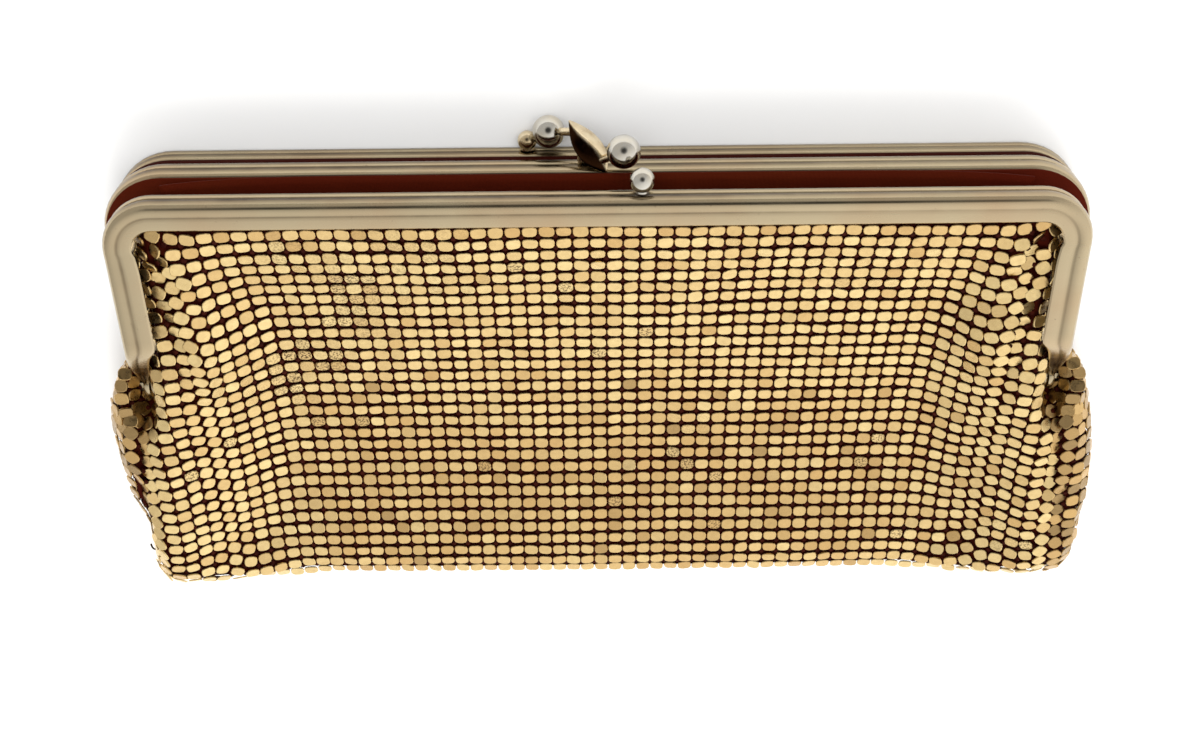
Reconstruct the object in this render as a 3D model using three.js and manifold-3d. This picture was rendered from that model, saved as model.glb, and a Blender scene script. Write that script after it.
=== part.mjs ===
// Metal-mesh clutch bag, lying on its back panel, with its front frame a little open.
// Millimetres. +X is to the right, +Y points towards the clasp, +Z is up from the surface.
// The limp mesh is sunken in the middle and is held open at the sides by the three hinged frames.
import * as THREE from "three";
import { mergeVertices } from "three/addons/utils/BufferGeometryUtils.js";
import Module from "manifold-3d";

const wasm = await Module();
wasm.setup();

// Frames: three U-shaped rolled rails, counted up from the surface
const FRONT_FRAME_WIDTH = 184.8;
const REAR_OVERHANG = 3.6; // the middle and back frames reach this far past the front one, each side
const RAIL_DEPTH = 5.6; // of the front and middle rails
const BACK_RAIL_DEPTH = 4.6;
const FLANGE_WIDTH = 5.6; // over the edge of the mesh
const FLANGE_THICKNESS = 1.3;
const ROLL_WIDTH = 3.0; // the rolled part of the rail, without its flange
const MIDDLE_RAIL_WIDTH = 4.5;
const RAIL_ROUNDING = 1.5;
const GROOVE_WIDTH = 0.9;
const GROOVE_DEPTH = 0.45;
const BACK_GAP = 1.9; // between the back and middle frames, which are shut on a little lining
const FRONT_GAP = 6.9; // between the middle and front frames, which are a little open
const FRONT_CORNER = 10.0;
const REAR_CORNER = 13.0;
const ARM_LENGTH = 47.0; // from the rear rails' outer edge down to the hinge pin
const FRONT_SETBACK = 1.0; // the swung front rail lies this much further down than the other two

// Hinge
const EAR_THICKNESS = 1.2;
const EAR_RADIUS = 3.0;
const EAR_SPACING = 1.5; // ear to ear along the pin
const OUTER_EAR_REACH = 1.2; // how far the front frame's ear stands out past its own arm
const PIN_RADIUS = 1.0;
const PIN_HEAD_RADIUS = 2.0;
const PIN_HEAD_THICKNESS = 0.8;
const PIVOT_HEIGHT = 11.0;

// Mesh bag
const BAG_LENGTH = 103.4; // from the rails' outer edge to the bottom fold
const LEFT_REACH = 103.0; // from the middle of the frame to the widest point
const RIGHT_REACH = 106.0;
const SIDE_HEIGHT = 22.6; // top of the mesh where it meets the arms
const MESH_WALL = 1.6;
const CORNER_LIFT = 4.4; // the bottom corners end this much higher up the bag than its middle

// Lining of the front compartment
const LINING_WALL = 1.0;
const LINING_LENGTH = 46.0;
const LINING_FALL = 16.5; // how soon its back wall comes down from the middle rail to the back panel
const LINING_SLACK = 0.8; // between the lining and the inside of the front and back panels
const LINING_SIDE_SLACK = 2.0;
const LINING_LIP = 0.8; // its back wall comes up to this far below the middle rail's outer edge

// Clasp
const CLASP_OFFSET = -2.1; // it sits a little to the left of the frame's middle
const LARGE_BALL_RADIUS = 3.2;
const LARGE_BALL_SIDE = 7.15;
const LARGE_BALL_RISE = 4.4; // centre above the rails' outer edge
const LARGE_BALL_LEAN = 5.3; // one ball leans back and the other one forward
const FRONT_BALL_RADIUS = 2.35;
const BACK_BALL_RADIUS = 1.9;
const FRONT_BALL_SIDE = 10.4;
const BACK_BALL_SIDE = 11.4;
const FRONT_BALL_RISE = 2.5; // above the outer edge of its own rail
const BACK_BALL_RISE = 2.0;
const LEAF_WIDTH = 5.2;
const LEAF_THICKNESS = 2.2;
const LEAF_LENGTH = 16.0;
const LEAF_RISE = 4.4; // middle of the leaf above the rails' outer edge
const FOOT_WIDTH = 4.4; // the block that joins the leaf to the middle rail
const FOOT_DEPTH = 3.2;
const LEAF_TURN = 64; // degrees that the leaf is turned from the rail's own line
const LEAF_TILT = 20; // its front end dips towards the rails
const STEM_RADIUS = 1.1;

// Clearance between pieces that touch
const CLEARANCE = 0.3;

const STACK = BACK_RAIL_DEPTH + 2 * RAIL_DEPTH + BACK_GAP + FRONT_GAP;
const MIDDLE_RAIL_BASE = BACK_RAIL_DEPTH + BACK_GAP;
const FRONT_RAIL_BASE = STACK - RAIL_DEPTH;
const MIDDLE_HEIGHT = MIDDLE_RAIL_BASE + RAIL_DEPTH / 2;
const FRONT_HALF = FRONT_FRAME_WIDTH / 2;
const REAR_HALF = FRONT_HALF + REAR_OVERHANG;
const FRONT_EAR = FRONT_HALF + OUTER_EAR_REACH;

// How an arm narrows into its ear. down is a share of ARM_LENGTH, width and depth of the rail's own,
// lift of the way to the pin's height, and shift of the way sideways to the ear.
const FRONT_ARM = [
  { down: 0.3, width: 1.12, depth: 1.0, lift: 0.0, shift: 0.0 },
  { down: 0.68, width: 1.14, depth: 1.0, lift: 0.0, shift: 0.0 },
  { down: 0.73, width: 0.84, depth: 0.95, lift: 0.1, shift: 0.4 },
  { down: 0.8, width: 0.66, depth: 0.85, lift: 0.3, shift: 0.8 },
  { down: 0.87, width: 0.46, depth: 0.7, lift: 0.54, shift: 1.0 },
  { down: 0.92, width: 0.26, depth: 0.7, lift: 0.74, shift: 1.0 },
  { down: 1.0, width: 0.2, depth: 0.75, lift: 1.0, shift: 1.0 },
];
const REAR_ARM = [
  { down: 0.62, width: 1.0, depth: 1.0, lift: 0.0, shift: 0.0 },
  { down: 0.72, width: 0.62, depth: 0.88, lift: 0.12, shift: 0.5 },
  { down: 0.8, width: 0.27, depth: 0.7, lift: 0.33, shift: 1.0 },
  { down: 0.88, width: 0.24, depth: 0.7, lift: 0.66, shift: 1.0 },
  { down: 1.0, width: 0.22, depth: 0.75, lift: 1.0, shift: 1.0 },
];

// Sections across the mesh bag, from the mouth to the bottom fold. down is a share of BAG_LENGTH.
// middle, ridge, waist and back are heights as shares of SIDE_HEIGHT: the sunken middle, the ridge
// along each side, the widest point of the side, and the back panel. hold is 1
// where the frame's arms hold the sides and 0 where they are free. left and right are the sides as
// shares of the frame's half width where they are held, and of LEFT_REACH and RIGHT_REACH where they
// are free. crease is a share of the reach, rim of the way from the crease to the side, and square says
// how boxy the side is, from 1 for round to 0 for square.
const SECTIONS = [
  {
    down: 0.0425, middle: 1.0, ridge: 1.0, waist: 0.5, back: 0.08,
    crease: 0.64, rim: 0.8, hold: 1.0, left: 0.892, right: 0.892, square: 0.3,
  },
  {
    down: 0.06, middle: 0.99, ridge: 1.0, waist: 0.5, back: 0.08,
    crease: 0.64, rim: 0.82, hold: 1.0, left: 0.936, right: 0.936, square: 0.3,
  },
  {
    down: 0.085, middle: 0.955, ridge: 0.99, waist: 0.5, back: 0.075,
    crease: 0.65, rim: 0.82, hold: 1.0, left: 0.953, right: 0.953, square: 0.3,
  },
  {
    down: 0.13, middle: 0.87, ridge: 0.985, waist: 0.5, back: 0.05,
    crease: 0.65, rim: 0.8, hold: 1.0, left: 0.959, right: 0.959, square: 0.3,
  },
  {
    down: 0.19, middle: 0.75, ridge: 0.975, waist: 0.5, back: 0.0,
    crease: 0.65, rim: 0.76, hold: 1.0, left: 0.959, right: 0.959, square: 0.3,
  },
  {
    down: 0.26, middle: 0.61, ridge: 0.965, waist: 0.5, back: 0.0,
    crease: 0.64, rim: 0.72, hold: 1.0, left: 0.959, right: 0.959, square: 0.32,
  },
  {
    down: 0.345, middle: 0.5, ridge: 0.95, waist: 0.48, back: 0.0,
    crease: 0.62, rim: 0.7, hold: 1.0, left: 0.961, right: 0.961, square: 0.4,
  },
  {
    down: 0.385, middle: 0.445, ridge: 0.94, waist: 0.46, back: 0.0,
    crease: 0.61, rim: 0.66, hold: 0.0, left: 0.92, right: 0.9, square: 0.6,
  },
  {
    down: 0.43, middle: 0.385, ridge: 0.925, waist: 0.44, back: 0.0,
    crease: 0.61, rim: 0.66, hold: 0.0, left: 0.965, right: 0.94, square: 0.8,
  },
  {
    down: 0.5, middle: 0.3, ridge: 0.9, waist: 0.42, back: 0.0,
    crease: 0.61, rim: 0.7, hold: 0.0, left: 0.99, right: 0.965, square: 0.95,
  },
  {
    down: 0.58, middle: 0.245, ridge: 0.87, waist: 0.4, back: 0.0,
    crease: 0.62, rim: 0.76, hold: 0.0, left: 1.0, right: 0.985, square: 1.0,
  },
  {
    down: 0.68, middle: 0.2, ridge: 0.82, waist: 0.38, back: 0.0,
    crease: 0.64, rim: 0.8, hold: 0.0, left: 0.99, right: 1.0, square: 1.0,
  },
  {
    down: 0.79, middle: 0.215, ridge: 0.77, waist: 0.36, back: 0.0,
    crease: 0.67, rim: 0.82, hold: 0.0, left: 0.975, right: 1.0, square: 1.0,
  },
  {
    down: 0.89, middle: 0.25, ridge: 0.71, waist: 0.34, back: 0.0,
    crease: 0.72, rim: 0.82, hold: 0.0, left: 0.97, right: 1.0, square: 1.0,
  },
  {
    down: 0.95, middle: 0.255, ridge: 0.65, waist: 0.31, back: 0.0,
    crease: 0.68, rim: 0.84, hold: 0.0, left: 0.975, right: 1.0, square: 1.0,
  },
  {
    down: 0.985, middle: 0.22, ridge: 0.56, waist: 0.27, back: 0.025,
    crease: 0.6, rim: 0.88, hold: 0.0, left: 0.97, right: 0.99, square: 1.0,
  },
  {
    down: 1.0, middle: 0.16, ridge: 0.44, waist: 0.22, back: 0.075,
    crease: 0.56, rim: 0.9, hold: 0.0, left: 0.955, right: 0.975, square: 1.0,
  },
];

const HELD_SIDE = 0.96; // the bag's side between the arms, as a share of the frame's half width
const FLAT_SHARE = 0.3; // share of the half grid over the sunken middle
const SLOPE_SHARE = 0.62; // share of the half grid out to the ridge

const satinGold = new THREE.MeshStandardMaterial({ color: 0xcdbd98, roughness: 0.32, metalness: 1 });
const meshGold = new THREE.MeshStandardMaterial({ color: 0xd8b768, roughness: 0.38, metalness: 1 });
const liningRed = new THREE.MeshStandardMaterial({ color: 0x3a0f0c, roughness: 0.8, metalness: 0 });
const silverBall = new THREE.MeshStandardMaterial({ color: 0xd9d6cf, roughness: 0.15, metalness: 1 });

function solidFrom(geometry) {
  const bare = geometry.clone();
  bare.deleteAttribute("normal");
  bare.deleteAttribute("uv");
  const merged = mergeVertices(bare, 1e-4);
  const corners = new wasm.Mesh({
    numProp: 3,
    vertProperties: merged.attributes.position.array,
    triVerts: new Uint32Array(merged.index.array),
  });
  return new wasm.Manifold(corners);
}

function geometryFrom(solid) {
  const mesh = solid.getMesh();
  const geometry = new THREE.BufferGeometry();
  geometry.setAttribute("position", new THREE.BufferAttribute(new Float32Array(mesh.vertProperties), 3));
  geometry.setIndex(new THREE.BufferAttribute(new Uint32Array(mesh.triVerts), 1));
  geometry.computeVertexNormals();
  return geometry;
}

function piece(name, solid, material) {
  const mesh = new THREE.Mesh(geometryFrom(solid), material);
  mesh.name = name;
  return mesh;
}

function moveVertices(geometry, place) {
  const position = geometry.attributes.position;
  const point = new THREE.Vector3();
  for (let i = 0; i < position.count; i++) {
    point.fromBufferAttribute(position, i);
    place(point);
    position.setXYZ(i, point.x, point.y, point.z);
  }
  return geometry;
}

function block(x0, x1, y0, y1, z0, z1) {
  const box = new THREE.BoxGeometry(x1 - x0, y1 - y0, z1 - z0);
  box.translate((x0 + x1) / 2, (y0 + y1) / 2, (z0 + z1) / 2);
  return solidFrom(box);
}

// A rail's section. x runs inwards from the outer edge, y up through the rail's depth.
function railSection(width, depth, flangeAt) {
  const d = depth;
  const r = RAIL_ROUNDING;
  const g = GROOVE_WIDTH / 2;
  const shape = new THREE.Shape();
  shape.moveTo(r, 0);
  if (flangeAt === "bottom") {
    shape.lineTo(FLANGE_WIDTH, 0);
    shape.lineTo(FLANGE_WIDTH, FLANGE_THICKNESS);
    shape.lineTo(width, FLANGE_THICKNESS);
  } else {
    shape.lineTo(width, 0);
  }
  if (flangeAt === "top") {
    shape.lineTo(width, d - FLANGE_THICKNESS);
    shape.lineTo(FLANGE_WIDTH, d - FLANGE_THICKNESS);
    shape.lineTo(FLANGE_WIDTH, d);
  } else {
    shape.lineTo(width, d);
  }
  shape.lineTo(r, d);
  shape.quadraticCurveTo(0, d, 0, d - r);
  shape.lineTo(0, d / 2 + g);
  shape.lineTo(GROOVE_DEPTH, d / 2);
  shape.lineTo(0, d / 2 - g);
  shape.lineTo(0, r);
  shape.quadraticCurveTo(0, 0, r, 0);
  return shape;
}

// Stations along a U-shaped frame, from the right hinge round to the left one.
function frameStations(half, corner, armRows, centre, earOuter, setback) {
  const arm = armRows.map((row) => ({
    x: half + (earOuter - half) * row.shift,
    y: -setback - row.down * (ARM_LENGTH - setback),
    inX: -1,
    inY: 0,
    width: row.width,
    depth: row.depth,
    height: centre + (PIVOT_HEIGHT - centre) * row.lift,
  }));
  const cornerSteps = 6;
  const bend = [];
  for (let i = 0; i <= cornerSteps; i++) {
    const angle = ((Math.PI / 2) * i) / cornerSteps;
    bend.push({
      x: half - corner + corner * Math.cos(angle),
      y: -setback - corner + corner * Math.sin(angle),
      inX: -Math.cos(angle),
      inY: -Math.sin(angle),
      width: 1,
      depth: 1,
      height: centre,
    });
  }
  const right = [...arm].reverse().concat(bend);
  const left = right.map((s) => ({ ...s, x: -s.x, inX: -s.inX }));
  return right.concat([...left].reverse());
}

// Carries a section along stations.
function sweep(shape, depth, stations) {
  const steps = stations.length - 1;
  const geometry = new THREE.ExtrudeGeometry(shape, {
    depth: 1,
    steps,
    bevelEnabled: false,
    curveSegments: 3,
  });
  moveVertices(geometry, (p) => {
    const s = stations[Math.round(p.z * steps)];
    const inward = p.x * s.width;
    const up = (p.y - depth / 2) * s.depth;
    p.set(s.x + s.inX * inward, s.y + s.inY * inward, s.height + up);
  });
  return solidFrom(geometry);
}

// A disc across X, from x0 to x1, centred on the hinge pin.
function pivotDisc(radius, x0, x1, sides) {
  const disc = new THREE.CylinderGeometry(radius, radius, Math.abs(x1 - x0), sides);
  disc.rotateZ(Math.PI / 2);
  disc.translate((x0 + x1) / 2, -ARM_LENGTH, PIVOT_HEIGHT);
  return solidFrom(disc);
}

function frame(name, rail, half, corner, armRows, earOuter, setback) {
  const section = railSection(rail.width, rail.depth, rail.flange);
  const centre = rail.base + rail.depth / 2;
  let solid = sweep(section, rail.depth, frameStations(half, corner, armRows, centre, earOuter, setback));
  for (const side of [-1, 1]) {
    const ear = pivotDisc(EAR_RADIUS, side * (earOuter - EAR_THICKNESS), side * earOuter, 16);
    solid = solid.add(ear);
  }
  for (const side of [-1, 1]) {
    const hole = pivotDisc(PIN_RADIUS + CLEARANCE, side * (earOuter - 4), side * (earOuter + 4), 16);
    solid = solid.subtract(hole);
  }
  return piece(name, solid, satinGold);
}

function hingePin(name, side) {
  const inner = FRONT_EAR - 2 * EAR_SPACING - EAR_THICKNESS - CLEARANCE;
  const outer = FRONT_EAR + CLEARANCE;
  const shank = pivotDisc(PIN_RADIUS, side * (inner - 0.1), side * (outer + 0.1), 12);
  const innerHead = pivotDisc(PIN_HEAD_RADIUS, side * (inner - PIN_HEAD_THICKNESS), side * inner, 12);
  const outerHead = pivotDisc(PIN_HEAD_RADIUS, side * outer, side * (outer + PIN_HEAD_THICKNESS), 12);
  return piece(name, shank.add(innerHead).add(outerHead), satinGold);
}

// The named columns of SECTIONS at any share down the bag.
function sectionAt(down) {
  const first = SECTIONS[0];
  if (down <= first.down) return first;
  const next = SECTIONS.findIndex((row) => row.down >= down);
  if (next < 0) return SECTIONS[SECTIONS.length - 1];
  const a = SECTIONS[next - 1];
  const b = SECTIONS[next];
  const t = (down - a.down) / (b.down - a.down);
  const mix = {};
  for (const key of Object.keys(a)) mix[key] = a[key] + (b[key] - a[key]) * t;
  return mix;
}

const smooth = (t) => t * t * (3 - 2 * t);

// How far a section's side stands out from the middle. way is below 0 for the left side.
function sideAt(row, way) {
  const reach = way < 0 ? LEFT_REACH : RIGHT_REACH;
  const share = way < 0 ? row.left : row.right;
  return share * (FRONT_HALF * row.hold + reach * (1 - row.hold));
}

// A point of the bag's form. across runs from -1 at the left side to 1 at the right one, down is a
// share of BAG_LENGTH, and up runs from 0 on the back panel to 1 on the front one. inset pulls the
// whole form inwards, for the hollow inside it.
function bagPoint(across, down, up, inset) {
  const row = sectionAt(down);
  const reach = across < 0 ? LEFT_REACH : RIGHT_REACH;
  const side = sideAt(row, across) - inset;
  const crease = Math.min(row.crease * reach, side * 0.9);
  const rim = crease + (side - crease) * row.rim;
  const low = row.back * SIDE_HEIGHT + inset;
  const waist = row.waist * SIDE_HEIGHT;
  const middle = Math.max(row.middle * SIDE_HEIGHT - inset, low + 0.5);
  const ridge = Math.max(row.ridge * SIDE_HEIGHT - inset, middle);
  const u = Math.abs(across);
  let x = (crease * u) / FLAT_SHARE;
  let top = middle;
  let bottom = low;
  if (u > FLAT_SHARE && u <= SLOPE_SHARE) {
    const t = (u - FLAT_SHARE) / (SLOPE_SHARE - FLAT_SHARE);
    x = crease + (rim - crease) * t;
    top = middle + (ridge - middle) * smooth(t);
  }
  if (u > SLOPE_SHARE) {
    const turn = ((u - SLOPE_SHARE) / (1 - SLOPE_SHARE)) * (Math.PI / 2) * 0.93;
    x = rim + ((side - rim) * Math.sin(turn)) / Math.sin((Math.PI / 2) * 0.93);
    const fall = Math.pow(Math.cos(turn), row.square);
    const foot = Math.pow(Math.cos(turn), row.square * 0.8);
    top = waist + (ridge - waist) * fall;
    bottom = waist - (waist - low) * foot;
  }
  const shrink = CORNER_LIFT * smooth(Math.min(1, down)) * Math.pow(x / reach, 4) * Math.pow(down, 3);
  const y = -down * BAG_LENGTH + shrink;
  return new THREE.Vector3(Math.sign(across) * x, y, bottom + (top - bottom) * up);
}

// The bag's form as one closed solid, from the share mouth down to the share base.
function bagForm(columns, rows, layers, mouth, base, inset) {
  const grid = new THREE.BoxGeometry(2, 1, 1, columns, rows, layers);
  moveVertices(grid, (p) => {
    const down = mouth + (base - mouth) * (0.5 - p.y);
    p.copy(bagPoint(p.x, down, p.z + 0.5, inset));
  });
  return solidFrom(grid);
}

// What is cut away so that the arms, their ears and the middle frame's corners run free.
function frameClearances() {
  let cut = null;
  const inner = FRONT_EAR - 2 * EAR_SPACING - EAR_THICKNESS - PIN_HEAD_THICKNESS - 3 * CLEARANCE;
  const outer = FRONT_EAR + PIN_HEAD_THICKNESS + 2 * CLEARANCE;
  const foot = ARM_LENGTH + EAR_RADIUS + CLEARANCE;
  for (const side of [-1, 1]) {
    const x0 = side < 0 ? -outer : inner;
    const x1 = side < 0 ? -inner : outer;
    const slot = block(x0, x1, -foot, 5, -5, STACK + 5);
    cut = cut ? cut.add(slot) : slot;
    const bendStart = REAR_HALF - 2 * REAR_CORNER;
    const bend = block(side < 0 ? -REAR_HALF : bendStart, side < 0 ? -bendStart : REAR_HALF,
      -REAR_CORNER - 1, 0, MIDDLE_RAIL_BASE - CLEARANCE, MIDDLE_RAIL_BASE + RAIL_DEPTH + CLEARANCE);
    cut = cut.add(bend);
  }
  return cut;
}

function meshBag() {
  const mouth = SECTIONS[0].down;
  const outer = bagForm(26, 17, 3, mouth, 1, 0);
  const baseInside = 1 - (MESH_WALL * 1.2) / BAG_LENGTH;
  const inner = bagForm(20, 14, 2, mouth, baseInside, MESH_WALL);
  const lid = block(-LEFT_REACH, RIGHT_REACH, -mouth * BAG_LENGTH - 0.4, 0,
    MESH_WALL * 2, SIDE_HEIGHT - MESH_WALL);
  return piece("mesh_bag", outer.subtract(inner).subtract(lid).subtract(frameClearances()), meshGold);
}

// The lining follows the inside of the front panel and falls from the middle rail to the back panel.
function liningForm(columns, rows, inset, top, base) {
  const grid = new THREE.BoxGeometry(2, 1, 1, columns, rows, 2);
  const railFace = MIDDLE_RAIL_BASE + RAIL_DEPTH + CLEARANCE;
  moveVertices(grid, (p) => {
    const fromTop = top + (base - top) * (0.5 - p.y);
    const down = fromTop / BAG_LENGTH;
    const t = Math.min(1, Math.max(0, fromTop / LINING_LENGTH));
    const row = sectionAt(down);
    const front = row.middle * SIDE_HEIGHT - MESH_WALL - LINING_SLACK - inset;
    const floor = row.back * SIDE_HEIGHT + MESH_WALL + LINING_SLACK;
    const fall = smooth(Math.min(1, Math.max(0, (fromTop - MIDDLE_RAIL_WIDTH) / LINING_FALL)));
    const back = railFace + (floor - railFace) * fall + inset;
    const half = Math.min(sideAt(row, -1), HELD_SIDE * FRONT_HALF) - MESH_WALL - LINING_SIDE_SLACK - inset;
    const taper = 1 - 0.06 * t;
    const z = back + (Math.max(front, back + 0.4) - back) * (p.z + 0.5);
    p.set(p.x * half * taper, -fromTop, z);
  });
  return solidFrom(grid);
}

function frontLining() {
  const top = FRONT_SETBACK + ROLL_WIDTH + CLEARANCE;
  const outer = liningForm(12, 12, 0, top, LINING_LENGTH);
  const inner = liningForm(10, 10, LINING_WALL, top - 1, LINING_LENGTH - LINING_WALL * 1.5);
  const lipHalf = REAR_HALF - REAR_CORNER;
  const lipBase = MIDDLE_RAIL_BASE + RAIL_DEPTH + CLEARANCE;
  const lip = block(-lipHalf, lipHalf, -top - 0.2, -LINING_LIP, lipBase, lipBase + LINING_WALL);
  return piece("front_lining", outer.subtract(inner).add(lip), liningRed);
}

function ball(radius, x, y, z) {
  const sphere = new THREE.SphereGeometry(radius, 16, 12);
  sphere.translate(x, y, z);
  return solidFrom(sphere);
}

// A straight round stem between two points.
function stem(from, to, radius) {
  const along = new THREE.Vector3().subVectors(to, from);
  const rod = new THREE.CylinderGeometry(radius, radius, along.length(), 10);
  const turn = new THREE.Quaternion().setFromUnitVectors(new THREE.Vector3(0, 1, 0), along.normalize());
  rod.applyQuaternion(turn);
  const middle = new THREE.Vector3().addVectors(from, to).multiplyScalar(0.5);
  rod.translate(middle.x, middle.y, middle.z);
  return solidFrom(rod);
}

// The leaf with the two large balls, soldered into one piece, which stands on the middle frame.
function claspBridge() {
  const leaf = new THREE.SphereGeometry(0.5, 20, 14);
  leaf.scale(LEAF_LENGTH, LEAF_THICKNESS, LEAF_WIDTH);
  leaf.rotateY(THREE.MathUtils.degToRad(-LEAF_TURN));
  leaf.rotateX(THREE.MathUtils.degToRad(LEAF_TILT));
  leaf.translate(CLASP_OFFSET, LEAF_RISE, MIDDLE_HEIGHT);
  let solid = solidFrom(leaf);
  const heart = new THREE.Vector3(CLASP_OFFSET, LEAF_RISE, MIDDLE_HEIGHT);
  for (const side of [-1, 1]) {
    const x = CLASP_OFFSET + side * LARGE_BALL_SIDE;
    const z = MIDDLE_HEIGHT + side * LARGE_BALL_LEAN;
    solid = solid.add(ball(LARGE_BALL_RADIUS, x, LARGE_BALL_RISE, z));
    solid = solid.add(stem(heart, new THREE.Vector3(x, LARGE_BALL_RISE, z), STEM_RADIUS));
  }
  const foot = block(CLASP_OFFSET - FOOT_WIDTH / 2, CLASP_OFFSET + FOOT_WIDTH / 2, CLEARANCE, LEAF_RISE,
    MIDDLE_HEIGHT - FOOT_DEPTH / 2, MIDDLE_HEIGHT + FOOT_DEPTH / 2);
  return piece("clasp_bridge", solid.add(foot), silverBall);
}

// A small ball on its peg, standing at the given height on the outer edge of a rail.
function smallBall(name, x, edge, rise, height, radius) {
  const centre = new THREE.Vector3(x, edge + rise, height);
  const head = ball(radius, centre.x, centre.y, centre.z);
  const foot = new THREE.Vector3(x, edge + CLEARANCE, height);
  const peg = stem(foot, centre, STEM_RADIUS * 1.4);
  return piece(name, head.add(peg), silverBall);
}

const frontRail = { base: FRONT_RAIL_BASE, depth: RAIL_DEPTH, width: ROLL_WIDTH, flange: "top" };
const middleRail = { base: MIDDLE_RAIL_BASE, depth: RAIL_DEPTH, width: MIDDLE_RAIL_WIDTH, flange: "none" };
const backRail = { base: 0, depth: BACK_RAIL_DEPTH, width: ROLL_WIDTH, flange: "bottom" };

const bag = new THREE.Group();
bag.add(frame("front_frame", frontRail, FRONT_HALF, FRONT_CORNER, FRONT_ARM, FRONT_EAR, FRONT_SETBACK));
bag.add(frame("middle_frame", middleRail, REAR_HALF, REAR_CORNER, REAR_ARM, FRONT_EAR - EAR_SPACING, 0));
bag.add(frame("back_frame", backRail, REAR_HALF, REAR_CORNER, REAR_ARM, FRONT_EAR - 2 * EAR_SPACING, 0));
bag.add(hingePin("hinge_pin_left", -1));
bag.add(hingePin("hinge_pin_right", 1));
bag.add(meshBag());
bag.add(frontLining());
bag.add(claspBridge());
bag.add(smallBall("clasp_ball_front", CLASP_OFFSET + FRONT_BALL_SIDE, -FRONT_SETBACK, FRONT_BALL_RISE,
  FRONT_RAIL_BASE + RAIL_DEPTH * 0.42, FRONT_BALL_RADIUS));
bag.add(smallBall("clasp_ball_back", CLASP_OFFSET - BACK_BALL_SIDE, 0, BACK_BALL_RISE,
  BACK_RAIL_DEPTH / 2, BACK_BALL_RADIUS));

// The origin is under the middle of the whole bag, on the surface it lies on.
const whole = new THREE.Box3().setFromObject(bag);
bag.position.set(-(whole.min.x + whole.max.x) / 2, -(whole.min.y + whole.max.y) / 2, -whole.min.z);

export default bag;
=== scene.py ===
"""Metal-mesh clutch bag lying on its back, dressed over its CAD frame.

Local sizes are in millimetres, counted from the middle of the frames' outer edge: +x right,
+y towards the clasp, +z up from the surface. place() turns them into the frame's metres.
"""

import math
import random

import bmesh
import bpy
import numpy as np
from bpy.props import FloatProperty, FloatVectorProperty, IntProperty, PointerProperty
from mathutils import Euler, Matrix, Vector


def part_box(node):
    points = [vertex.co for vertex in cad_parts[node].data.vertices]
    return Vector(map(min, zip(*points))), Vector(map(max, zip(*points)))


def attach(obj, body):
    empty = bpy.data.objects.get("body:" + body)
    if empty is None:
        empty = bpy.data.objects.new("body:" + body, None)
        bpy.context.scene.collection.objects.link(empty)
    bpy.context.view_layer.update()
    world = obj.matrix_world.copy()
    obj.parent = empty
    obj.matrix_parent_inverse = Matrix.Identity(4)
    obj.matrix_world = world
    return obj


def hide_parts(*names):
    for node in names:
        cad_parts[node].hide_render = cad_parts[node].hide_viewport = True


bl_info = {
    "name": "Mesh Clutch Bag",
    "version": (1, 0, 0),
    "blender": (4, 5, 0),
    "location": "3D View > Sidebar > Clutch Bag",
    "description": "Builds the tiles, rails, clasp and lining of a metal-mesh clutch bag",
    "category": "Add Mesh",
}

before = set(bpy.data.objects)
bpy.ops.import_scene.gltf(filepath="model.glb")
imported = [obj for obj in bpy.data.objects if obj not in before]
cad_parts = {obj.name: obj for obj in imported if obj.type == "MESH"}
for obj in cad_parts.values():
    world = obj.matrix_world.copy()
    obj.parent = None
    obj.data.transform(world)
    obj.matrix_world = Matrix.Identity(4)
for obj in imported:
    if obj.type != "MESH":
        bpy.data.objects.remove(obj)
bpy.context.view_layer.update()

MM = 0.001
BODY = "root"
FRONT_LOW, FRONT_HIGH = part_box("front_frame")
MIDDLE_LOW, MIDDLE_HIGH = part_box("middle_frame")
PIN_LOW, PIN_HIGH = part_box("hinge_pin_right")

# The local frame's own place in the row frame, in metres
LOCAL_X = (FRONT_LOW.x + FRONT_HIGH.x) / 2
LOCAL_Y = MIDDLE_HIGH.y

# Frame, in millimetres
FRONT_HALF = 92.4
REAR_HALF = (MIDDLE_HIGH.x - MIDDLE_LOW.x) / 2 / MM
SETBACK = (MIDDLE_HIGH.y - FRONT_HIGH.y) / MM
RAIL_DEPTH = 5.6
BACK_DEPTH = 4.6
ROLL_WIDTH = 3.0
MIDDLE_WIDTH = 4.5
FLANGE_WIDTH = 5.6
FLANGE_THICKNESS = 1.2
MIDDLE_BASE = 6.5
FRONT_BASE = 19.0
FRONT_CORNER = 10.0
REAR_CORNER = 13.0
PIVOT_Y = (PIN_LOW.y + PIN_HIGH.y) / 2 / MM - LOCAL_Y / MM
PIVOT_Z = (PIN_LOW.z + PIN_HIGH.z) / 2 / MM
EAR_THICKNESS = 1.2
EAR_SPACING = 1.5
EAR_RADIUS = 3.0
FRONT_EAR = (FRONT_HIGH.x - FRONT_LOW.x) / 2 / MM

# Bag, in millimetres
BAG_LENGTH = 103.4
LEFT_REACH = 103.0
RIGHT_REACH = 106.0
SIDE_HEIGHT = 22.6
CORNER_LIFT = 4.4
MOUTH = 0.0425
FLAT_SHARE = 0.3
SLOPE_SHARE = 0.62

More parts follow.
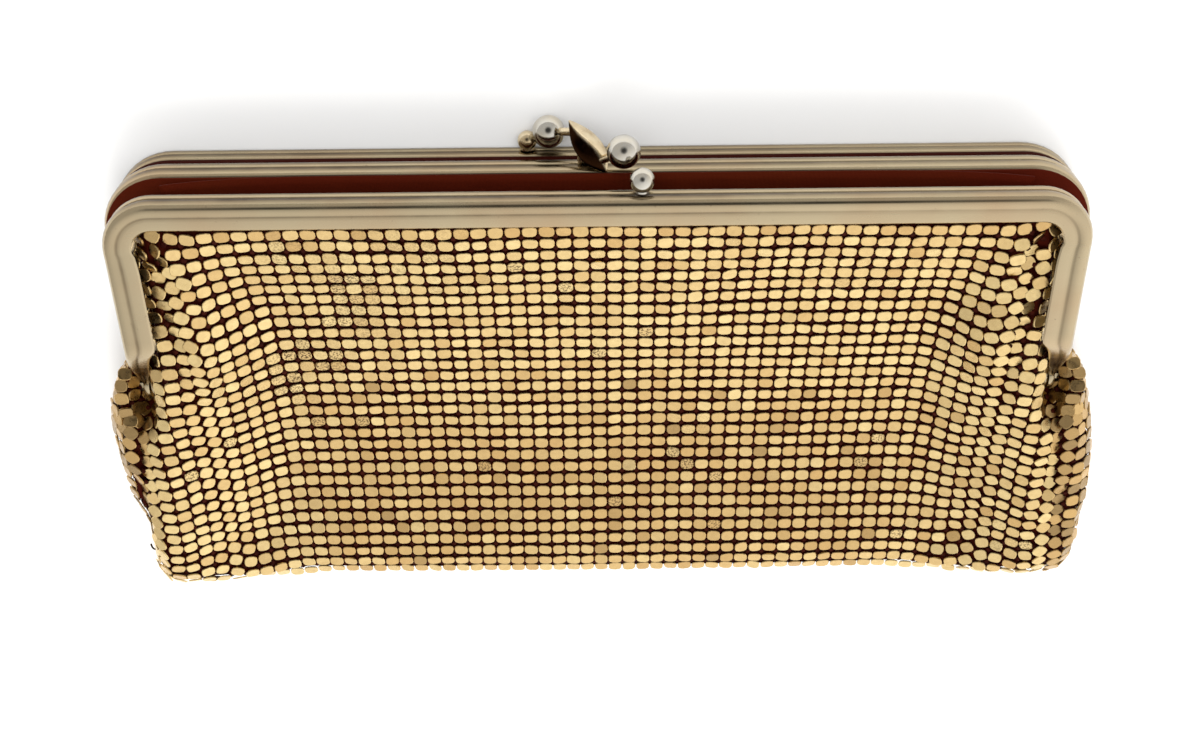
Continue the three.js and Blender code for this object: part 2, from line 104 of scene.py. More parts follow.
# Sections of the bag, from the mouth to the bottom fold. down is a share of BAG_LENGTH, the heights
# middle, ridge, waist and back are shares of SIDE_HEIGHT, and left and right are shares of the reaches.
# Where hold is 1, the arms hold the sides, and left and right are shares of the frame's half width.
COLUMNS = ("down", "middle", "ridge", "waist", "back", "crease", "rim", "hold", "left", "right", "square")
SECTIONS = (
    (0.0425, 1.0, 1.0, 0.5, 0.08, 0.64, 0.8, 1.0, 0.892, 0.892, 0.3),
    (0.06, 0.99, 1.0, 0.5, 0.08, 0.64, 0.82, 1.0, 0.936, 0.936, 0.3),
    (0.085, 0.955, 0.99, 0.5, 0.075, 0.65, 0.82, 1.0, 0.953, 0.953, 0.3),
    (0.13, 0.87, 0.985, 0.5, 0.05, 0.65, 0.8, 1.0, 0.959, 0.959, 0.3),
    (0.19, 0.75, 0.975, 0.5, 0.0, 0.65, 0.76, 1.0, 0.959, 0.959, 0.3),
    (0.26, 0.61, 0.965, 0.5, 0.0, 0.64, 0.72, 1.0, 0.959, 0.959, 0.32),
    (0.345, 0.5, 0.95, 0.48, 0.0, 0.62, 0.7, 1.0, 0.961, 0.961, 0.4),
    (0.385, 0.445, 0.94, 0.46, 0.0, 0.61, 0.66, 0.0, 0.92, 0.9, 0.6),
    (0.43, 0.385, 0.925, 0.44, 0.0, 0.61, 0.66, 0.0, 0.965, 0.94, 0.8),
    (0.5, 0.3, 0.9, 0.42, 0.0, 0.61, 0.7, 0.0, 0.99, 0.965, 0.95),
    (0.58, 0.245, 0.87, 0.4, 0.0, 0.62, 0.76, 0.0, 1.0, 0.985, 1.0),
    (0.68, 0.2, 0.82, 0.38, 0.0, 0.64, 0.8, 0.0, 0.99, 1.0, 1.0),
    (0.79, 0.215, 0.77, 0.36, 0.0, 0.67, 0.82, 0.0, 0.975, 1.0, 1.0),
    (0.89, 0.25, 0.71, 0.34, 0.0, 0.72, 0.82, 0.0, 0.97, 1.0, 1.0),
    (0.95, 0.255, 0.65, 0.31, 0.0, 0.68, 0.84, 0.0, 0.975, 1.0, 1.0),
    (0.985, 0.22, 0.56, 0.27, 0.025, 0.6, 0.88, 0.0, 0.97, 0.99, 1.0),
    (1.0, 0.16, 0.44, 0.22, 0.075, 0.56, 0.9, 0.0, 0.955, 0.975, 1.0),
)

# How an arm narrows into its ear: share of the way down, width, depth, lift and sideways shift
FRONT_ARM = (
    (0.15, 1.0, 1.0, 0.0, 0.0),
    (0.3, 1.12, 1.0, 0.0, 0.0),
    (0.68, 1.14, 1.0, 0.0, 0.0),
    (0.73, 0.88, 0.95, 0.1, 0.4),
    (0.8, 0.74, 0.85, 0.3, 0.8),
    (0.87, 0.55, 0.7, 0.54, 1.0),
    (0.92, 0.38, 0.7, 0.74, 1.0),
    (1.0, 0.17, 0.75, 1.0, 1.0),
)
REAR_ARM = (
    (0.0, 1.0, 1.0, 0.0, 0.0),
    (0.62, 1.0, 1.0, 0.0, 0.0),
    (0.72, 0.62, 0.88, 0.12, 0.5),
    (0.8, 0.27, 0.7, 0.33, 1.0),
    (0.88, 0.24, 0.7, 0.66, 1.0),
    (1.0, 0.22, 0.75, 1.0, 1.0),
)

# How far up and down an arm its sizes are averaged, as shares of its length
ARM_BLEND = (-0.02, -0.01, 0.0, 0.01, 0.02)

# Tarnished places on the front, in millimetres: x, y, radius and how strong it is
TARNISH = (
    (-49.0, -23.0, 5.5, 0.9),
    (-52.0, -34.0, 5.0, 0.8),
    (-57.0, -42.0, 5.5, 0.9),
    (-63.0, -44.0, 4.5, 1.0),
    (-65.0, -51.0, 4.0, 0.8),
    (-60.0, -14.0, 4.0, 0.5),
    (-34.0, -17.0, 12.0, 0.35),
    (50.0, -23.5, 1.6, 1.0),
    (20.0, -62.0, 4.0, 0.35),
    (88.0, -90.0, 5.0, 0.4),
)

# Folds of the front panel, in millimetres: where each lies, its width and how far it lifts the mesh.
# ARM_FOLDS run beside the arms. PINCHES lie along the front rail, in the rows that PINCH_ROWS gives.
ARM_FOLDS = ((82.6, 1.5, -1.7), (79.0, 2.2, 0.7))
PINCHES = ((-58, 20, 1.0), (19, 6, 0.8), (40, 8, 0.6))
PINCH_ROWS = ((-11.6, 2.2, -0.3), (-15.2, 2.4, 0.25))
SEAM_DEPTH = 2.3
SEAM_SIDE = 93.0
SEAM_SPREAD = 0.16

# The valley that holds the arms' ends: how far down, and the highest the mesh comes there
ARM_BED = ((30, 36, 41, 45, 48, 53), (21.0, 17.5, 14.0, 11.8, 12.5, 15.5))

# Clasp, in millimetres
CLASP_X = -2.1
LARGE_BALL = 3.2
LARGE_SIDE = 7.15
LARGE_RISE = 4.4
LARGE_LEAN = 5.3
FRONT_BALL = 2.35
BACK_BALL = 1.9
FRONT_BALL_SIDE = 10.4
BACK_BALL_SIDE = 11.4
FRONT_BALL_RISE = 2.5
BACK_BALL_RISE = 2.0
LEAF_HALF = 6.1
LEAF_WIDTH = 5.8
LEAF_RISE = 4.4
LEAF_RIDGE = 1.1
LEAF_TWIST = 0.5
LEAF_WAY = (0.576, -0.70, 0.42)
LEAF_FACING = (0.42, 0.5, 0.75)
STEM = 1.1
STEM_STARTS = (-3.6, 3.4)
FOOT = (3.2, LEAF_RISE - 1.0, 2.6)

# Loose wire loops, in millimetres and degrees: x, y, z and turn
LOOPS = ((-101.6, -93.5, 5.0, 200.0), (104.4, -95.5, 5.0, -40.0))
LOOP_RADIUS = 1.4
LOOP_SWEEP = 285.0
WIRE_RADIUS = 0.22

# Tiles and backing, in millimetres. TILE_EDGES says how far in from each panel's edge the tiles stop.
TILE_EDGES = {"front": -1.0, "back": 0.8}
TILE_LOWEST = 1.2
BACKING_LOWEST = 0.9
BACKING_WALL = 0.6
BACKING_STEP = 3

# How far down the front arms cover the tiles beside them, and where they end
ARM_COVERS = 36.0
ARM_END = 46.5

# Lining, in millimetres
LINING_LENGTH = 46.0
LINING_FALL = 16.5
LINING_INSET = 2.6
LINING_STEPS = (120, 60)
LINING_WALL = 0.5

# Colours that the finishes mix in
# DEEP_GOLD is the tiles' darkest tone, reached mostly through the side lobes' painted dark reflection
DEEP_GOLD = (0.3, 0.2, 0.09)
WARM_GOLD = (0.44, 0.29, 0.12)
LINK_DARK = (0.016, 0.0015, 0.0008)
LINK_LIT = (0.05, 0.007, 0.003)
RUST = (0.11, 0.022, 0.004)
RAIL_SPECK = (0.12, 0.08, 0.05)
# RAIL_GRIME_AND_SHADE is the dark colour that the rails' patina and painted shade mix to
RAIL_GRIME_AND_SHADE = (0.06, 0.035, 0.016)
BALL_WEAR = (0.62, 0.54, 0.4)
LEAF_GOLD = (0.74, 0.62, 0.42)
LEAF_WEAR = (0.48, 0.35, 0.19)
LEAF_SHADE = (0.022, 0.008, 0.003)
WIRE_DARK = (0.02, 0.017, 0.014)
WIRE_LIT = (0.12, 0.08, 0.05)

# Stage: the camera in local millimetres, and each light's place, size and colour in metres
CAMERA_AT = (0.2, 103.5, 259.3)
SENSOR = 36.0
KEY_LIGHT = ((0.12, -0.5, 0.92), (0.6, 0.4), (1.0, 0.98, 0.95))
FILL_LIGHT = ((0.0, 0.55, 0.9), (0.9, 0.9), (0.97, 0.98, 1.0))
SKY = (1.0, 0.99, 0.97, 1.0)

# Where the sky is brighter or darker: direction, the cosines it runs between, and both strengths
SKY_PARTS = (
    ((0.55, -0.8, 0.1), -0.3, 0.95, 0.68, 1.5),
    ((0.0, 0.5, 0.866), 0.88, 0.975, 1.0, 0.08),
)


def place(x, y, z):
    """A local point in millimetres as a point of the row frame in metres."""
    return Vector((LOCAL_X + x * MM, LOCAL_Y + y * MM, z * MM))


# Properties


class ClutchMeshSizes(bpy.types.PropertyGroup):
    pitch: FloatProperty(
        name="Tile pitch", description="From one tile to the next", default=0.0032, unit="LENGTH")
    share: FloatProperty(
        name="Tile share", description="How much of the pitch a tile covers", default=0.915,
        subtype="FACTOR")
    narrow: FloatProperty(
        name="Tile narrowing", description="A tile's height as a share of its width", default=0.88,
        subtype="FACTOR")
    height: FloatProperty(
        name="Tile height", description="Thickness of a tile, with its dome", default=0.0004, unit="LENGTH")
    sink: FloatProperty(
        name="Backing depth", description="How far the dark backing lies under the tiles",
        default=0.0012, unit="LENGTH")
    jitter: FloatProperty(
        name="Tile wobble", description="How far a tile leans off the cloth's own slope",
        default=math.radians(4.0), subtype="ANGLE")
    seed: IntProperty(name="Seed", description="Start of the random wobble and wear", default=7)


class ClutchColours(bpy.types.PropertyGroup):
    pale_gold: FloatVectorProperty(
        name="Pale gold", description="Lighter tiles", subtype="COLOR", default=(0.78, 0.60, 0.29))
    tan_gold: FloatVectorProperty(
        name="Tan gold", description="Darker, warmer tiles", subtype="COLOR", default=(0.60, 0.39, 0.16))
    tarnish: FloatVectorProperty(
        name="Tarnish", description="Speckled worn places", subtype="COLOR", default=(0.1, 0.062, 0.03))
    champagne: FloatVectorProperty(
        name="Champagne", description="The rails' plating", subtype="COLOR", default=(0.48, 0.395, 0.255))
    blush: FloatVectorProperty(
        name="Blush", description="Rubbed places of the rails", subtype="COLOR",
        default=(0.46, 0.335, 0.205))
    silver: FloatVectorProperty(
        name="Silver", description="The clasp's plating", subtype="COLOR", default=(0.55, 0.525, 0.47))
    maroon: FloatVectorProperty(
        name="Maroon", description="The lining and the backing", subtype="COLOR",
        default=(0.09, 0.009, 0.003))
    floor: FloatVectorProperty(
        name="Floor", description="The pale surface", subtype="COLOR", default=(0.95, 0.95, 0.945))


class ClutchStudio(bpy.types.PropertyGroup):
    lens: FloatProperty(name="Lens", description="Focal length in millimetres", default=42.0)
    tilt: FloatProperty(
        name="Tilt", description="The camera's lean off straight down", default=math.radians(31.0),
        subtype="ANGLE")
    roll: FloatProperty(
        name="Roll", description="The camera's roll", default=math.radians(0.6), subtype="ANGLE")
    key: FloatProperty(name="Key light", description="Power of the key light", default=4.5, unit="POWER")
    fill: FloatProperty(name="Fill light", description="Power of the fill light", default=6.5, unit="POWER")
    sky: FloatProperty(name="Sky", description="Strength of the soft light all round", default=1.0)


# Small helpers


def to_mesh(name, bm):
    """Ends a bmesh as a mesh."""
    mesh = bpy.data.meshes.new(name)
    bm.to_mesh(mesh)
    bm.free()
    return mesh


def merge_into(whole, bm):
    """Adds a finished bmesh to another one."""
    mesh = to_mesh("part", bm)
    whole.from_mesh(mesh)
    bpy.data.meshes.remove(mesh)


def new_object(name, bm, material, sharp=None):
    """Ends a bmesh as a smooth object at the origin, on the body, with one material."""
    mesh = to_mesh(name, bm)
    mesh.materials.append(material)
    for polygon in mesh.polygons:
        polygon.use_smooth = True
    if sharp is not None:
        mesh.set_sharp_from_angle(angle=math.radians(sharp))
    obj = bpy.data.objects.new(name, mesh)
    bpy.context.scene.collection.objects.link(obj)
    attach(obj, BODY)
    return obj


def add_node(tree, kind, **inputs):
    node = tree.nodes.new(kind)
    for name, value in inputs.items():
        node.inputs[name.replace("_", " ")].default_value = value
    return node


def feed(tree, socket, value):
    """Gives a socket a link, a number or a colour."""
    if isinstance(value, bpy.types.NodeSocket):
        tree.links.new(value, socket)
    else:
        socket.default_value = value if isinstance(value, float) else (*value, 1.0)


def noise(tree, scale, detail=3.0, stretch=(1.0, 1.0, 1.0)):
    """Noise on Object coordinates, which is in metres here."""
    coordinates = tree.nodes.new("ShaderNodeTexCoord")
    mapping = tree.nodes.new("ShaderNodeMapping")
    mapping.inputs["Scale"].default_value = stretch
    tree.links.new(coordinates.outputs["Object"], mapping.inputs["Vector"])
    texture = add_node(tree, "ShaderNodeTexNoise", Scale=scale, Detail=detail)
    tree.links.new(mapping.outputs["Vector"], texture.inputs["Vector"])
    return texture.outputs["Fac"]


def ramp(tree, source, stops):
    node = tree.nodes.new("ShaderNodeValToRGB")
    while len(node.color_ramp.elements) < len(stops):
        node.color_ramp.elements.new(0.5)
    for element, (position, colour) in zip(node.color_ramp.elements, stops):
        element.position = position
        element.color = (*colour, 1.0)
    tree.links.new(source, node.inputs["Fac"])
    return node.outputs["Color"]


def attribute(tree, name):
    node = tree.nodes.new("ShaderNodeAttribute")
    node.attribute_name = name
    return node.outputs["Fac"]


def mix(tree, factor, first, second):
    node = tree.nodes.new("ShaderNodeMix")
    node.data_type = "RGBA"
    for name, value in (("Factor", factor), ("A", first), ("B", second)):
        feed(tree, node.inputs[name], value)
    return node.outputs["Result"]


def span(tree, source, low, high, out_low, out_high):
    node = tree.nodes.new("ShaderNodeMapRange")
    for name, value in (("From Min", low), ("From Max", high), ("To Min", out_low), ("To Max", out_high)):
        node.inputs[name].default_value = value
    tree.links.new(source, node.inputs["Value"])
    return node.outputs["Result"]


def multiply(tree, first, second):
    node = tree.nodes.new("ShaderNodeMath")
    node.operation = "MULTIPLY"
    tree.links.new(first, node.inputs[0])
    tree.links.new(second, node.inputs[1])
    return node.outputs["Value"]


def bump(tree, shader, height, strength, distance):
    node = tree.nodes.new("ShaderNodeBump")
    node.inputs["Strength"].default_value = strength
    node.inputs["Distance"].default_value = distance
    tree.links.new(height, node.inputs["Height"])
    tree.links.new(node.outputs["Normal"], shader.inputs["Normal"])


# Finishes


def finish_of(name):
    """The material of that name, made once."""
    if name in bpy.data.materials:
        return bpy.data.materials[name]
    make, metallic, roughness, specular = FINISHES[name]
    material = bpy.data.materials.new(name)
    material.use_nodes = True
    tree = material.node_tree
    shader = tree.nodes["Principled BSDF"]
    shader.inputs["Metallic"].default_value = metallic
    shader.inputs["Roughness"].default_value = roughness
    shader.inputs["Specular IOR Level"].default_value = specular
    make(tree, shader, bpy.context.scene.clutch_colours)
    return material


def tile_gold(tree, shader, colours):
    # The tone_and_shade attribute holds each tile's random tone together with painted shade and painted
    # reflection
    tone_and_shade = attribute(tree, "tone_and_shade")
    base = ramp(tree, tone_and_shade, (
        (0.0, tuple(colours.pale_gold)), (0.6, tuple(colours.tan_gold)), (1.0, DEEP_GOLD)))
    mottle = span(tree, noise(tree, 900.0), 0.3, 0.75, 0.0, 0.3)
    warm = mix(tree, mottle, base, WARM_GOLD)
    speckle = span(tree, noise(tree, 2600.0, 4.0), 0.46, 0.6, 0.0, 1.0)
    worn = multiply(tree, speckle, attribute(tree, "tarnish"))
    tree.links.new(mix(tree, worn, warm, tuple(colours.tarnish)), shader.inputs["Base Color"])
    tree.links.new(span(tree, noise(tree, 700.0), 0.3, 0.7, 0.2, 0.4), shader.inputs["Roughness"])
    bump(tree, shader, noise(tree, 1800.0, 4.0), 0.25, 0.00012)


def link_bronze(tree, shader, colours):
    base = ramp(tree, noise(tree, 800.0), ((0.3, LINK_DARK), (0.75, LINK_LIT)))
    tree.links.new(base, shader.inputs["Base Color"])
    bump(tree, shader, noise(tree, 2500.0), 0.3, 0.0001)


def weave(tree, scale):
    """The height of a plain weave: two crossed sets of fine threads."""
    coordinates = tree.nodes.new("ShaderNodeTexCoord")
    total = None
    for direction in ("X", "Y"):
        wave = add_node(tree, "ShaderNodeTexWave", Scale=scale, Distortion=1.2, Detail=2.0)
        wave.bands_direction = direction
        tree.links.new(coordinates.outputs["Object"], wave.inputs["Vector"])
        if total is None:
            total = wave.outputs["Fac"]
        else:
            total = multiply(tree, total, wave.outputs["Fac"])
    return total


def maroon_cloth(tree, shader, colours):
    threads = weave(tree, 1300.0)
    deep = tuple(channel * 0.7 for channel in colours.maroon)
    rust = mix(tree, span(tree, noise(tree, 18.0), 0.45, 0.65, 0.0, 0.8), tuple(colours.maroon), RUST)
    tree.links.new(mix(tree, threads, deep, rust), shader.inputs["Base Color"])
    bump(tree, shader, threads, 0.3, 0.0001)


def shaded_backing_cloth(tree, shader, colours):
    # Painted shade: the lining's maroon is darkened to a quarter to a half, for the shade between the tiles
    # and between the rear rails
    deep = tuple(channel * 0.25 for channel in colours.maroon)
    lit = tuple(channel * 0.45 for channel in colours.maroon)
    tree.links.new(mix(tree, noise(tree, 500.0), deep, lit), shader.inputs["Base Color"])
    bump(tree, shader, weave(tree, 500.0), 0.4, 0.0001)


def satin_champagne(tree, shader, colours):
    patches = span(tree, noise(tree, 45.0, 4.0), 0.42, 0.68, 0.0, 0.85)
    plating = mix(tree, patches, tuple(colours.champagne), tuple(colours.blush))
    specks = span(tree, noise(tree, 1500.0, 5.0), 0.7, 0.76, 0.0, 0.5)
    spotted = mix(tree, specks, plating, RAIL_SPECK)
    # The rails darken by the patina_and_shade layer. This is patina in the grooves, with painted shade
    # under the flanges and painted dark reflection on the outer faces.
    grime_and_shade = multiply(tree, attribute(tree, "patina_and_shade"), span(tree, noise(tree, 160.0), 0.3, 0.7, 0.75, 1.0))
    split = tree.nodes.new("ShaderNodeSeparateXYZ")
    tree.links.new(tree.nodes.new("ShaderNodeTexCoord").outputs["Object"], split.inputs["Vector"])
    # Painted light: the darkening weakens towards +x, so the rails' right side reads lighter, as if lit
    # from the right
    lighter_to_right = span(tree, split.outputs["X"], 0.015, 0.05, 1.0, 0.6)
    grime_and_shade = multiply(tree, grime_and_shade, lighter_to_right)
    tree.links.new(mix(tree, grime_and_shade, spotted, RAIL_GRIME_AND_SHADE), shader.inputs["Base Color"])
    streaks = noise(tree, 70.0, 5.0, (1.0, 5.0, 5.0))
    tree.links.new(span(tree, streaks, 0.3, 0.7, 0.14, 0.3), shader.inputs["Roughness"])
    bump(tree, shader, streaks, 0.06, 0.0002)


def clasp_silver(tree, shader, colours):
    wear = span(tree, noise(tree, 260.0, 4.0), 0.45, 0.7, 0.0, 0.6)
    tree.links.new(mix(tree, wear, tuple(colours.silver), BALL_WEAR), shader.inputs["Base Color"])
    tree.links.new(span(tree, noise(tree, 800.0, 4.0), 0.35, 0.75, 0.1, 0.26), shader.inputs["Roughness"])
    bump(tree, shader, noise(tree, 1500.0), 0.08, 0.0001)


def clasp_gold(tree, shader, colours):
    wear = span(tree, noise(tree, 380.0, 4.0), 0.4, 0.7, 0.0, 0.8)
    plating = mix(tree, wear, LEAF_GOLD, LEAF_WEAR)
    # The patina_and_shade layer mixes in LEAF_SHADE, which is painted shade on the leaf
    tree.links.new(mix(tree, attribute(tree, "patina_and_shade"), plating, LEAF_SHADE), shader.inputs["Base Color"])
    tree.links.new(span(tree, noise(tree, 900.0), 0.35, 0.75, 0.14, 0.36), shader.inputs["Roughness"])
    bump(tree, shader, noise(tree, 1600.0), 0.1, 0.0001)


def dark_wire(tree, shader, colours):
    base = ramp(tree, noise(tree, 1200.0), ((0.35, WIRE_DARK), (0.8, WIRE_LIT)))
    tree.links.new(base, shader.inputs["Base Color"])
    bump(tree, shader, noise(tree, 3000.0), 0.3, 0.0001)


def pale_floor(tree, shader, colours):
    light = tuple(colours.floor)
    shade = tuple(channel * 0.96 for channel in light)
    tree.links.new(mix(tree, noise(tree, 12.0), light, shade), shader.inputs["Base Color"])
    bump(tree, shader, noise(tree, 400.0), 0.05, 0.0002)


# Each finish: its maker, and its metallic, roughness and specular level
FINISHES = {
    "tile_gold": (tile_gold, 1.0, 0.4, 0.5),
    "link_bronze": (link_bronze, 0.2, 0.75, 0.1),
    "maroon_cloth": (maroon_cloth, 0.0, 0.82, 0.05),
    "shaded_backing_cloth": (shaded_backing_cloth, 0.0, 0.9, 0.06),
    "satin_champagne": (satin_champagne, 1.0, 0.3, 0.5),
    "clasp_silver": (clasp_silver, 1.0, 0.12, 0.5),
    "clasp_gold": (clasp_gold, 1.0, 0.2, 0.5),
    "dark_wire": (dark_wire, 0.8, 0.5, 0.5),
    "pale_floor": (pale_floor, 0.0, 0.7, 0.5),
}


# The bag's form

ACROSS_STEPS = 301
DOWN_STEPS = 161
FOLD_STEPS = 8


def smooth(t):
    t = np.clip(t, 0.0, 1.0)
    return t * t * (3 - 2 * t)


def bell(x, centre, width):
    return np.exp(-(((x - centre) / width) ** 2))


def relax(points, passes):
    """Rounds off the grid's creases, and leaves its rim in place."""
    for _ in range(passes):
        points[1:-1] = points[1:-1] * 0.5 + (points[:-2] + points[2:]) * 0.25
        points[:, 1:-1] = points[:, 1:-1] * 0.5 + (points[:, :-2] + points[:, 2:]) * 0.25
    return points


def seam_at(y):
    """How far out the front panel's edge lies."""
    return SEAM_SIDE + SEAM_SPREAD * np.maximum(-y - 50, 0)


def bells(value, rows):
    return sum(power * bell(value, centre, width) for centre, width, power in rows)


def folds(x, y, z):
    """How far the front panel's small folds lift it, in millimetres."""
    side = np.abs(x)
    lift = bells(side, ARM_FOLDS) * smooth((-y - 9) / 8) * smooth((y + 52) / 10)
    lift = lift + bells(x, PINCHES) * bells(y, PINCH_ROWS)
    lift = lift + 0.3 * np.sin(x / 7.5 + 0.6 * np.sin(y / 11)) * smooth((y + 60) / 45)
    lift = lift + 0.25 * np.sin(y / 6.5 + x / 21) * smooth((y + 70) / 50)
    corner = bell(side, 82, 5) * bell(y, -13, 7)
    lift = lift + corner * (0.6 * np.sin(x * 0.9 + y * 0.5) + 0.5 * np.sin(y * 0.85 - x * 0.3))
    gusset = smooth((side - 92) / 5) * smooth((-y - ARM_COVERS) / 8)
    crumple = 0.3 * np.sin(y * 0.55 + 1.3 * np.sin(x / 3)) + 0.2 * np.sin(x * 0.7 - y * 0.3)
    lift = lift + gusset * crumple
    # the valley that each arm's end lies in, which closes over the hinge
    under = np.interp(-y, *ARM_BED)
    notch = bell(side, FRONT_HALF + 0.6, 2.8) * smooth((-y - 27) / 6) * smooth((y + 58) / 8)
    # the seam that runs on from it, between the panel and the side
    seam = bell(side, seam_at(y), 1.5) * smooth((-y - 46) / 5) * smooth((y + 94) / 12)
    return lift - SEAM_DEPTH * seam - notch * np.maximum(z - under, 0)


def shell_points(front):
    """A grid of points over the front or back half of the bag: [across, down, xyz] in millimetres."""
    table = np.array(SECTIONS)
    down = np.linspace(MOUTH, 1.0, DOWN_STEPS)
    row = {name: np.interp(down, table[:, 0], table[:, i])[None, :] for i, name in enumerate(COLUMNS)}
    across = np.linspace(-1.0, 1.0, ACROSS_STEPS)[:, None]
    reach = np.where(across < 0, LEFT_REACH, RIGHT_REACH)
    widest = FRONT_HALF * row["hold"] + reach * (1 - row["hold"])
    side = np.where(across < 0, row["left"], row["right"]) * widest
    crease = np.minimum(row["crease"] * reach, side * 0.9)
    rim = crease + (side - crease) * row["rim"]
    low = row["back"] * SIDE_HEIGHT
    waist = row["waist"] * SIDE_HEIGHT
    middle = np.maximum(row["middle"] * SIDE_HEIGHT, low + 0.5)
    ridge = np.maximum(row["ridge"] * SIDE_HEIGHT, middle)
    share = np.abs(across)
    slope = np.clip((share - FLAT_SHARE) / (SLOPE_SHARE - FLAT_SHARE), 0, 1)
    turn = np.clip((share - SLOPE_SHARE) / (1 - SLOPE_SHARE), 0, 1) * math.pi / 2 * 0.999
    x = np.where(share <= FLAT_SHARE, crease * share / FLAT_SHARE, crease + (rim - crease) * slope)
    x = np.where(share > SLOPE_SHARE, rim + (side - rim) * np.sin(turn), x)
    top = middle + (ridge - middle) * smooth(slope)
    top = np.where(share > SLOPE_SHARE, waist + (ridge - waist) * np.cos(turn) ** row["square"], top)
    under = waist - (waist - low) * np.cos(turn) ** (row["square"] * 0.8)
    bottom = np.where(share > SLOPE_SHARE, under, low)
    lift = CORNER_LIFT * smooth(down)[None, :] * (x / reach) ** 4 * down[None, :] ** 3
    y = -down[None, :] * BAG_LENGTH + lift
    height = top if front else bottom + 0 * x
    half = (top + bottom) / 2
    grid = np.stack([np.sign(across) * x, y + 0 * x, height], axis=-1)
    # the bottom fold: the last rows go down, or up, to the middle of the wall
    end = grid[:, -1:]
    to = np.linspace(0, 1, FOLD_STEPS + 1)[None, 1:]
    fold = np.repeat(end, FOLD_STEPS, axis=1)
    fold[..., 2] = end[..., 2] * (1 - to) + half[:, -1:] * to
    grid = relax(np.concatenate([grid, fold], axis=1), 9)
    if front:
        grid[..., 2] += folds(grid[..., 0], grid[..., 1], grid[..., 2])
    return grid


def arc_lengths(points, axis):
    steps = np.linalg.norm(np.diff(points, axis=axis), axis=-1)
    start = np.zeros_like(np.take(steps, [0], axis=axis))
    return np.concatenate([start, np.cumsum(steps, axis=axis)], axis=axis)


def tile_places(front, pitch):
    """Where the tiles' middles go: {(column, row): point}, walked over the shell by arc length."""
    grid = shell_points(front)
    edge = TILE_EDGES["front" if front else "back"]
    along = arc_lengths(grid, 0)
    along = along - along[ACROSS_STEPS // 2][None, :]
    widest = int(max(-along[0].min(), along[-1].max()) / pitch) + 1
    rows = grid.shape[1]
    places = {}
    for column in range(-widest, widest + 1):
        want = column * pitch
        line = np.array([
            [np.interp(want, along[:, j], grid[:, j, k]) for k in range(3)] for j in range(rows)])
        held = (along[0] + edge < want) & (want < along[-1] - edge)
        walked = arc_lengths(line, 0)
        count = int((walked[-1] - 0.35 * pitch) / pitch) + 1
        for r in range(count):
            at = (r + 0.5) * pitch
            if at > walked[-1]:
                break
            nearest = int(np.argmin(np.abs(walked - at)))
            if held[nearest]:
                places[column, r] = Vector([np.interp(at, walked, line[:, k]) for k in range(3)])
    return places


def tile_turn(places, key, facing):
    """The turn that lays a tile along its neighbours, with its face outwards."""
    column, r = key
    here = places[key]
    right, left = places.get((column + 1, r)), places.get((column - 1, r))
    above, below = places.get((column, r - 1)), places.get((column, r + 1))
    across = (right or here) - (left or here)
    up = (above or here) - (below or here)
    if across.length < 0.1:
        across = Vector((1, 0, 0))
    if up.length < 0.1:
        up = Vector((0, 1, 0))
    out = across.cross(up) * facing
    out.normalize()
    across = (across - out * across.dot(out)).normalized()
    return Matrix((across, out.cross(across), out)).transposed()


def tarnish_at(x, y):
    return min(1.0, sum(power * math.exp(-((x - cx) ** 2 + (y - cy) ** 2) / radius ** 2)
                        for cx, cy, radius, power in TARNISH))


# Tiles


def tile_template(size, narrow, height, rings):
    """One tile: a square with round corners, and a low dome."""
    bm = bmesh.new()
    bmesh.ops.create_grid(bm, x_segments=1, y_segments=1, size=size / 2)
    bmesh.ops.bevel(
        bm, geom=bm.verts[:], offset=size * 0.32, offset_type="OFFSET", segments=2, profile=0.5,
        affect="VERTICES", material=-1)
    face = bm.faces[:][0]
    raised = bmesh.ops.extrude_face_region(bm, geom=[face], use_keep_orig=True)
    corners = [item for item in raised["geom"] if isinstance(item, bmesh.types.BMVert)]
    bmesh.ops.translate(bm, verts=corners, vec=(0, 0, height * 0.5))
    bm.faces.ensure_lookup_table()
    top = max(bm.faces, key=lambda f: f.calc_center_median().z)
    for inset, rise in rings:
        bmesh.ops.inset_region(
            bm, faces=[top], thickness=size * inset, depth=height * rise, use_even_offset=True)
    bmesh.ops.scale(bm, vec=(1.0, narrow, 1.0), verts=bm.verts)
    bmesh.ops.recalc_face_normals(bm, faces=bm.faces)
    return to_mesh("tile", bm)


def stamp_rows(placed, template):
    """Joins copies of the template into one bmesh. placed holds rows of (matrix, tone and painted shade,
    tarnish).
    """
    whole = bmesh.new()
    whole.verts.layers.float.new("tone_and_shade")
    whole.verts.layers.float.new("tarnish")
    for row in placed:
        strip = bmesh.new()
        tone_and_shade = strip.verts.layers.float.new("tone_and_shade")
        tarnish = strip.verts.layers.float.new("tarnish")
        for matrix, tone_and_shade_value, tarnish_value in row:
            start = len(strip.verts)
            strip.from_mesh(template)
            strip.verts.ensure_lookup_table()
            fresh = strip.verts[start:]
            bmesh.ops.transform(strip, matrix=matrix, verts=fresh)
            for vert in fresh:
                vert[tone_and_shade] = tone_and_shade_value
                vert[tarnish] = tarnish_value
        merge_into(whole, strip)
    return whole


def hidden_by_frame(point):
    """True under the flange or inside the arms, where no tile shows or fits."""
    side = abs(point.x)
    if point.y > -(SETBACK + FLANGE_WIDTH + 0.4) and point.z > 9:
        return True
    if point.y > -ARM_COVERS:
        return side > FRONT_HALF - 3.6
    beside_arm = FRONT_HALF - 2.6 + 2.2 * smooth((-point.y - 38) / 6) < side < FRONT_EAR + 1.2
    return beside_arm and point.z > 7 and point.y > -ARM_END


